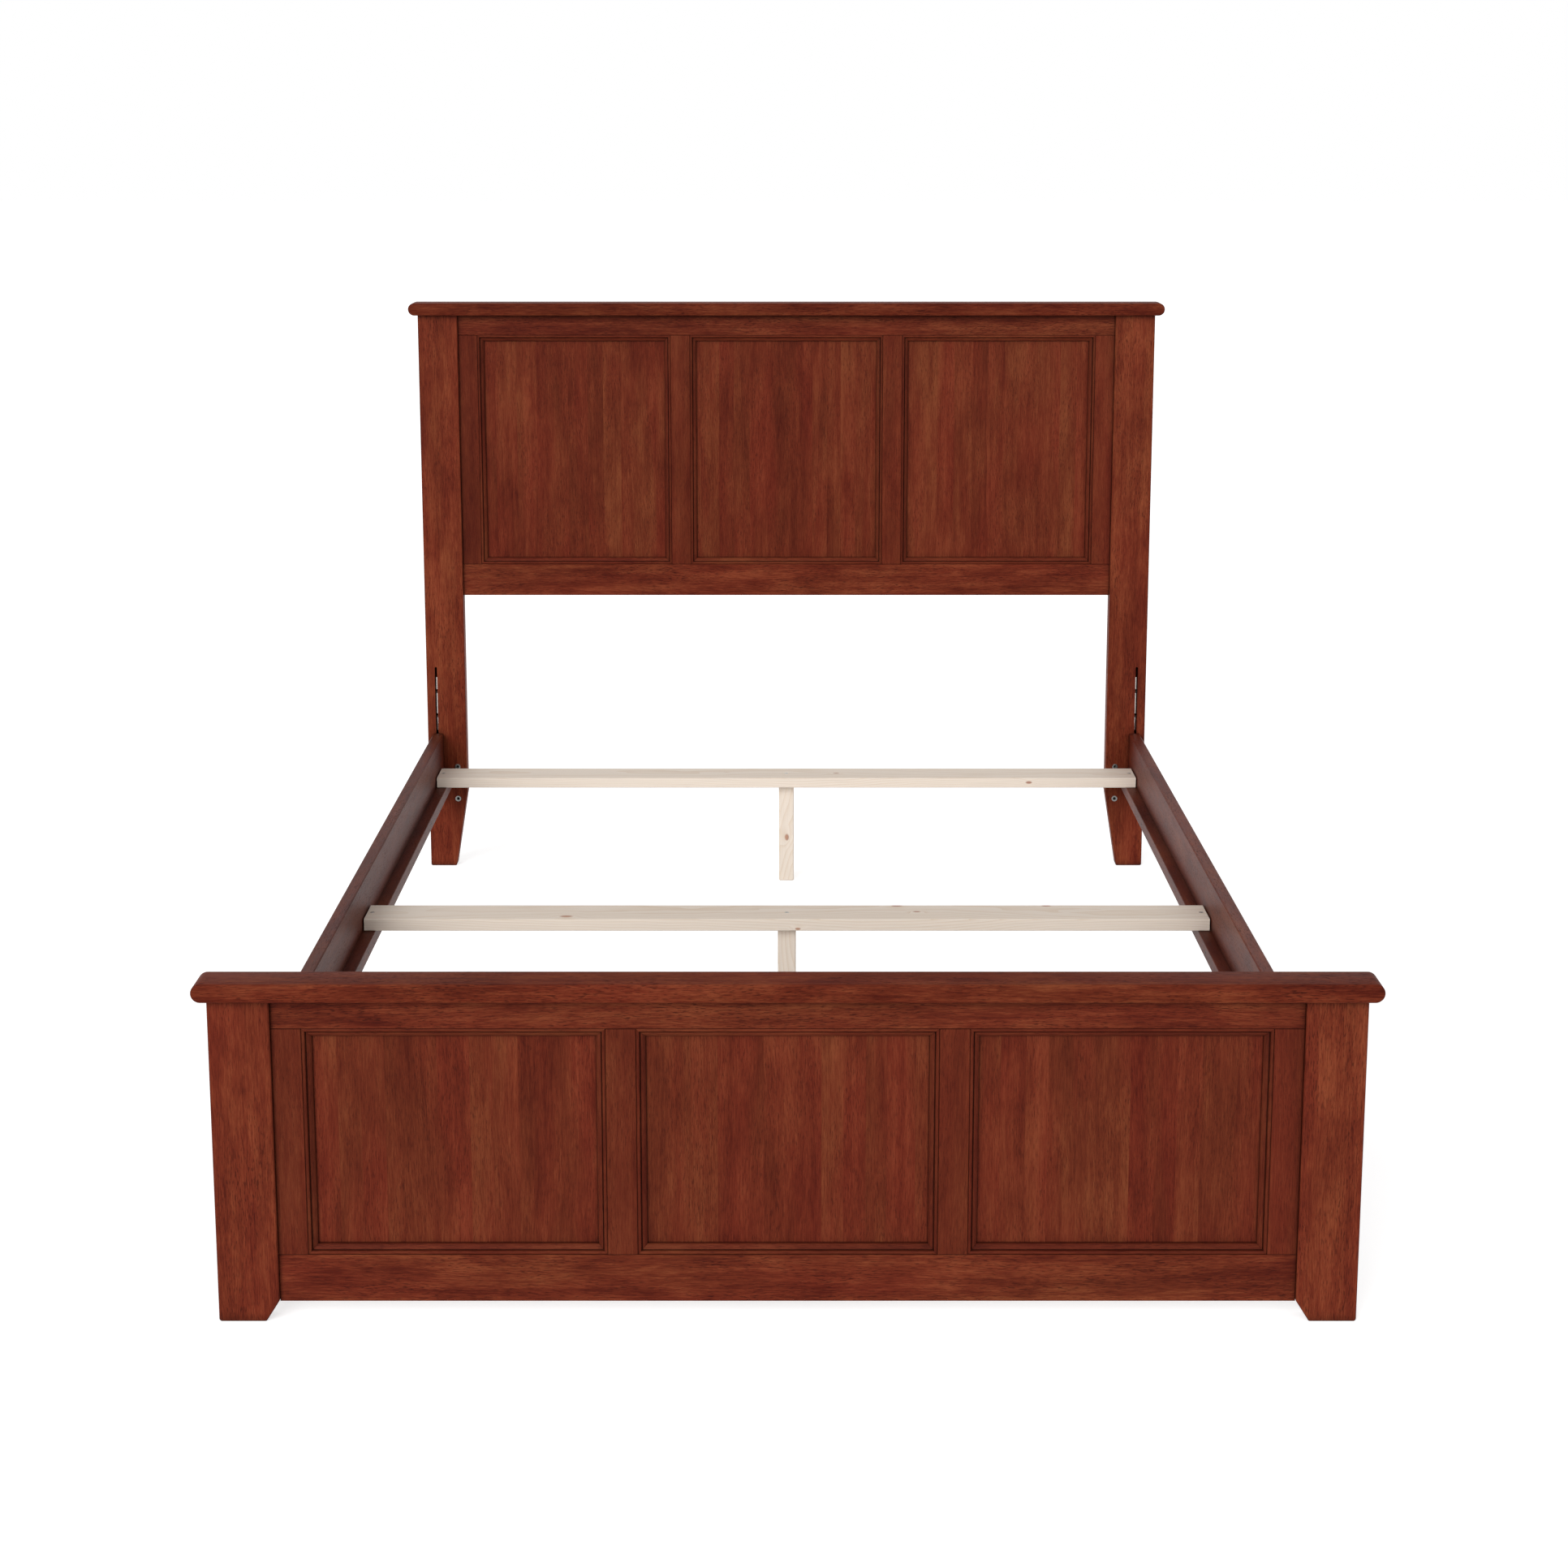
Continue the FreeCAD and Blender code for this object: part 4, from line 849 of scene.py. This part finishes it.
def insert_nut_surface(length):
    """Grid of an insert nut with its flange's face at height 0 and its barrel down -z."""
    angle = np.linspace(0, 2 * np.pi, NUT_TURNS, endpoint=False)
    hexed = hexagon(SOCKET_FLATS, angle)
    rings = [
        (0.0, -length + BORE_END), (BORE_RADIUS, -length + BORE_END), (BORE_RADIUS, -0.0046),
        (0.0026, -0.0042), (hexed, -SOCKET_DEPTH), (hexed, -0.0004), (hexed + SOCKET_EASE, 0.0),
        (BARREL_RADIUS, 0.0), (0.0061, 0.0), (0.0064, -0.0001), (FLANGE_RADIUS, -0.0004),
        (FLANGE_RADIUS, -FLANGE_THICKNESS), (BARREL_RADIUS, -FLANGE_THICKNESS), (BARREL_RADIUS, -length),
        (0.0, -length),
    ]
    radius = np.stack([np.broadcast_to(ring, angle.shape) for ring, _ in rings])
    height = np.repeat(np.array([[z] for _, z in rings]), NUT_TURNS, axis=1)
    return np.stack([radius * np.cos(angle), radius * np.sin(angle), height], axis=-1)


nuts = []
for low, high in islands("insert_nuts"):
    spot = ((low[0] + high[0]) / 2, low[1], (low[2] + high[2]) / 2)
    nuts.append(placed(insert_nut_surface(high[1] - low[1])[::-1], spot, (0, -1, 0)))
repeat("insert_nuts_turned", "insert_nuts", nuts, DULL_ZINC)

# %% [markdown]
# ## Pins and liners in the hook slots
#
# In each post's slot four round pins cross from side to side, and a bright steel strip lines the bottom of
# the slot. The pins are cut from wire, so their ends have a small chamfer. Rolling leaves the strip slightly
# dished, and so it throws the light of the room back out of the slot, which is why it shows as a bright
# line.

# %% Pins and liners
PIN_RADIUS, PIN_CHAMFER, PIN_TURNS = 0.0025, 0.0004, 32
STRIP_SOFTNESS, STRIP_DISH = 0.0003, 0.00018


def pin_surface(length):
    """A pin with its middle at the origin along z: straight, with a chamfer at both ends."""
    narrow, end = PIN_RADIUS - PIN_CHAMFER, length / 2
    return swept(np.array([
        [0.0, -end], [narrow, -end], [PIN_RADIUS, -end + PIN_CHAMFER],
        [PIN_RADIUS, end - PIN_CHAMFER], [narrow, end], [0.0, end],
    ]), PIN_TURNS)


def strip_surface(size, face_way):
    """A strip of a size about the origin, carried up z. Its section is a rounded rectangle whose broad face
    towards face_way on y is hollowed by a parabola: the dish, deep in the middle and nothing at the
    edges."""
    half_x, half_y, half_z = size / 2
    turn = np.linspace(0, np.pi / 2, 4)
    flat = np.linspace(-1, 1, 11)[1:-1] * (half_x - STRIP_SOFTNESS)
    front = np.stack([flat, half_y - STRIP_DISH * (1 - (flat / half_x) ** 2)])
    arcs = [
        np.stack([sx * (half_x - STRIP_SOFTNESS) + STRIP_SOFTNESS * np.cos(turn + k * np.pi / 2),
                  sy * (half_y - STRIP_SOFTNESS) + STRIP_SOFTNESS * np.sin(turn + k * np.pi / 2)])
        for k, (sx, sy) in enumerate(((1, 1), (-1, 1), (-1, -1), (1, -1)))
    ]
    x, y = np.concatenate([arcs[0], front[:, ::-1], *arcs[1:]], axis=1)
    if face_way < 0:
        x, y = x[::-1], -y[::-1]
    rows = [(0.0, -half_z), (1.0, -half_z), (1.0, half_z), (0.0, half_z)]
    return np.stack([np.stack([x * grow, y * grow, np.full_like(x, z)], axis=-1) for grow, z in rows])


for end, way in (("head", -1), ("foot", 1)):
    spans = islands("hook_pins_" + end)
    pins = [placed(pin_surface(high[0] - low[0]), (low + high) / 2, (1, 0, 0)) for low, high in spans]
    repeat("hook_pins_%s_round" % end, "hook_pins_" + end, pins, BLACKENED)
    spans = islands("slot_liners_" + end)
    liners = [strip_surface(high - low, way) + (low + high) / 2 for low, high in spans]
    repeat("slot_liners_%s_strips" % end, "slot_liners_" + end, liners, BRIGHT)

# %% [markdown]
# ## Stage and light
#
# The bed stands on a plain pale floor under soft light, as in a catalogue. The key light comes from far away
# on the left of the camera and is as soft as if it came through a large window. It lights the fronts, and
# leaves the inside of the left rail darker than that of the right one; the rails' and cleats' colours add to
# this, the left ones painted darker than the right ones as painted shade. A weaker lamp fills from the right,
# and the sky gives the rest. The white background is only a matter of what the camera and mirror-like
# surfaces see, so it does not wash out the wood.

# %% Stage
FLOOR_REACH, FLOOR_HEIGHT = 40.0, -0.0002
FLOOR_GREY, FLOOR_ROUGHNESS, FLOOR_GLOW = 0.80, 0.9, 0.60
AMBIENT = 0.48
WHITE = (1, 1, 1, 1)


def seen_directly(tree):
    """1 for rays from the camera, and for those that a mirror or glass sends on, else 0."""
    path = add(tree, "LightPath").outputs
    either = maths(tree, "MAXIMUM", path["Is Camera Ray"], path["Is Glossy Ray"])
    return maths(tree, "MAXIMUM", either, path["Is Transmission Ray"])


def far_soft_light(name, towards, strength, spread):
    """An even light from far away in a direction, as soft as a light source that spans the spread in
    degrees."""
    lamp = bpy.data.lights.new(name, "SUN")
    lamp.energy = strength
    lamp.angle = math.radians(spread)
    holder = bpy.data.objects.new(name, lamp)
    across = math.hypot(towards[0], towards[1])
    holder.rotation_euler = (math.atan2(across, towards[2]), 0, math.atan2(towards[0], -towards[1]))
    bpy.context.scene.collection.objects.link(holder)


floor_material, tree, shader = new_material("pale_floor")
shader.inputs["Base Color"].default_value = (FLOOR_GREY, FLOOR_GREY, FLOOR_GREY, 1)
shader.inputs["Roughness"].default_value = FLOOR_ROUGHNESS
shader.inputs["Specular IOR Level"].default_value = 0.0
shader.inputs["Emission Color"].default_value = WHITE
tree.links.new(maths(tree, "MULTIPLY", seen_directly(tree), FLOOR_GLOW), shader.inputs["Emission Strength"])

sides = (-FLOOR_REACH, FLOOR_REACH)
floor_corners = [(x, y, FLOOR_HEIGHT) for x in sides for y in sides]
floor_mesh = bpy.data.meshes.new("floor")
floor_mesh.from_pydata(floor_corners, [], [(0, 2, 3, 1)])
floor_mesh.materials.append(floor_material)
floor = bpy.data.objects.new("floor", floor_mesh)
bpy.context.scene.collection.objects.link(floor)

world = bpy.data.worlds.new("studio")
bpy.context.scene.world = world
world.use_nodes = True
background = world.node_tree.nodes["Background"]
background.inputs["Color"].default_value = WHITE
level = window(world.node_tree, seen_directly(world.node_tree), 0.0, 1.0, AMBIENT, 1.0)
world.node_tree.links.new(level, background.inputs["Strength"])

far_soft_light("key", towards=(-0.62, -1.0, 0.55), strength=1.85, spread=40)
far_soft_light("fill", towards=(0.65, -1.0, 0.35), strength=0.65, spread=50)
bpy.context.scene.view_settings.view_transform = "Standard"
print("stage and lamps set")
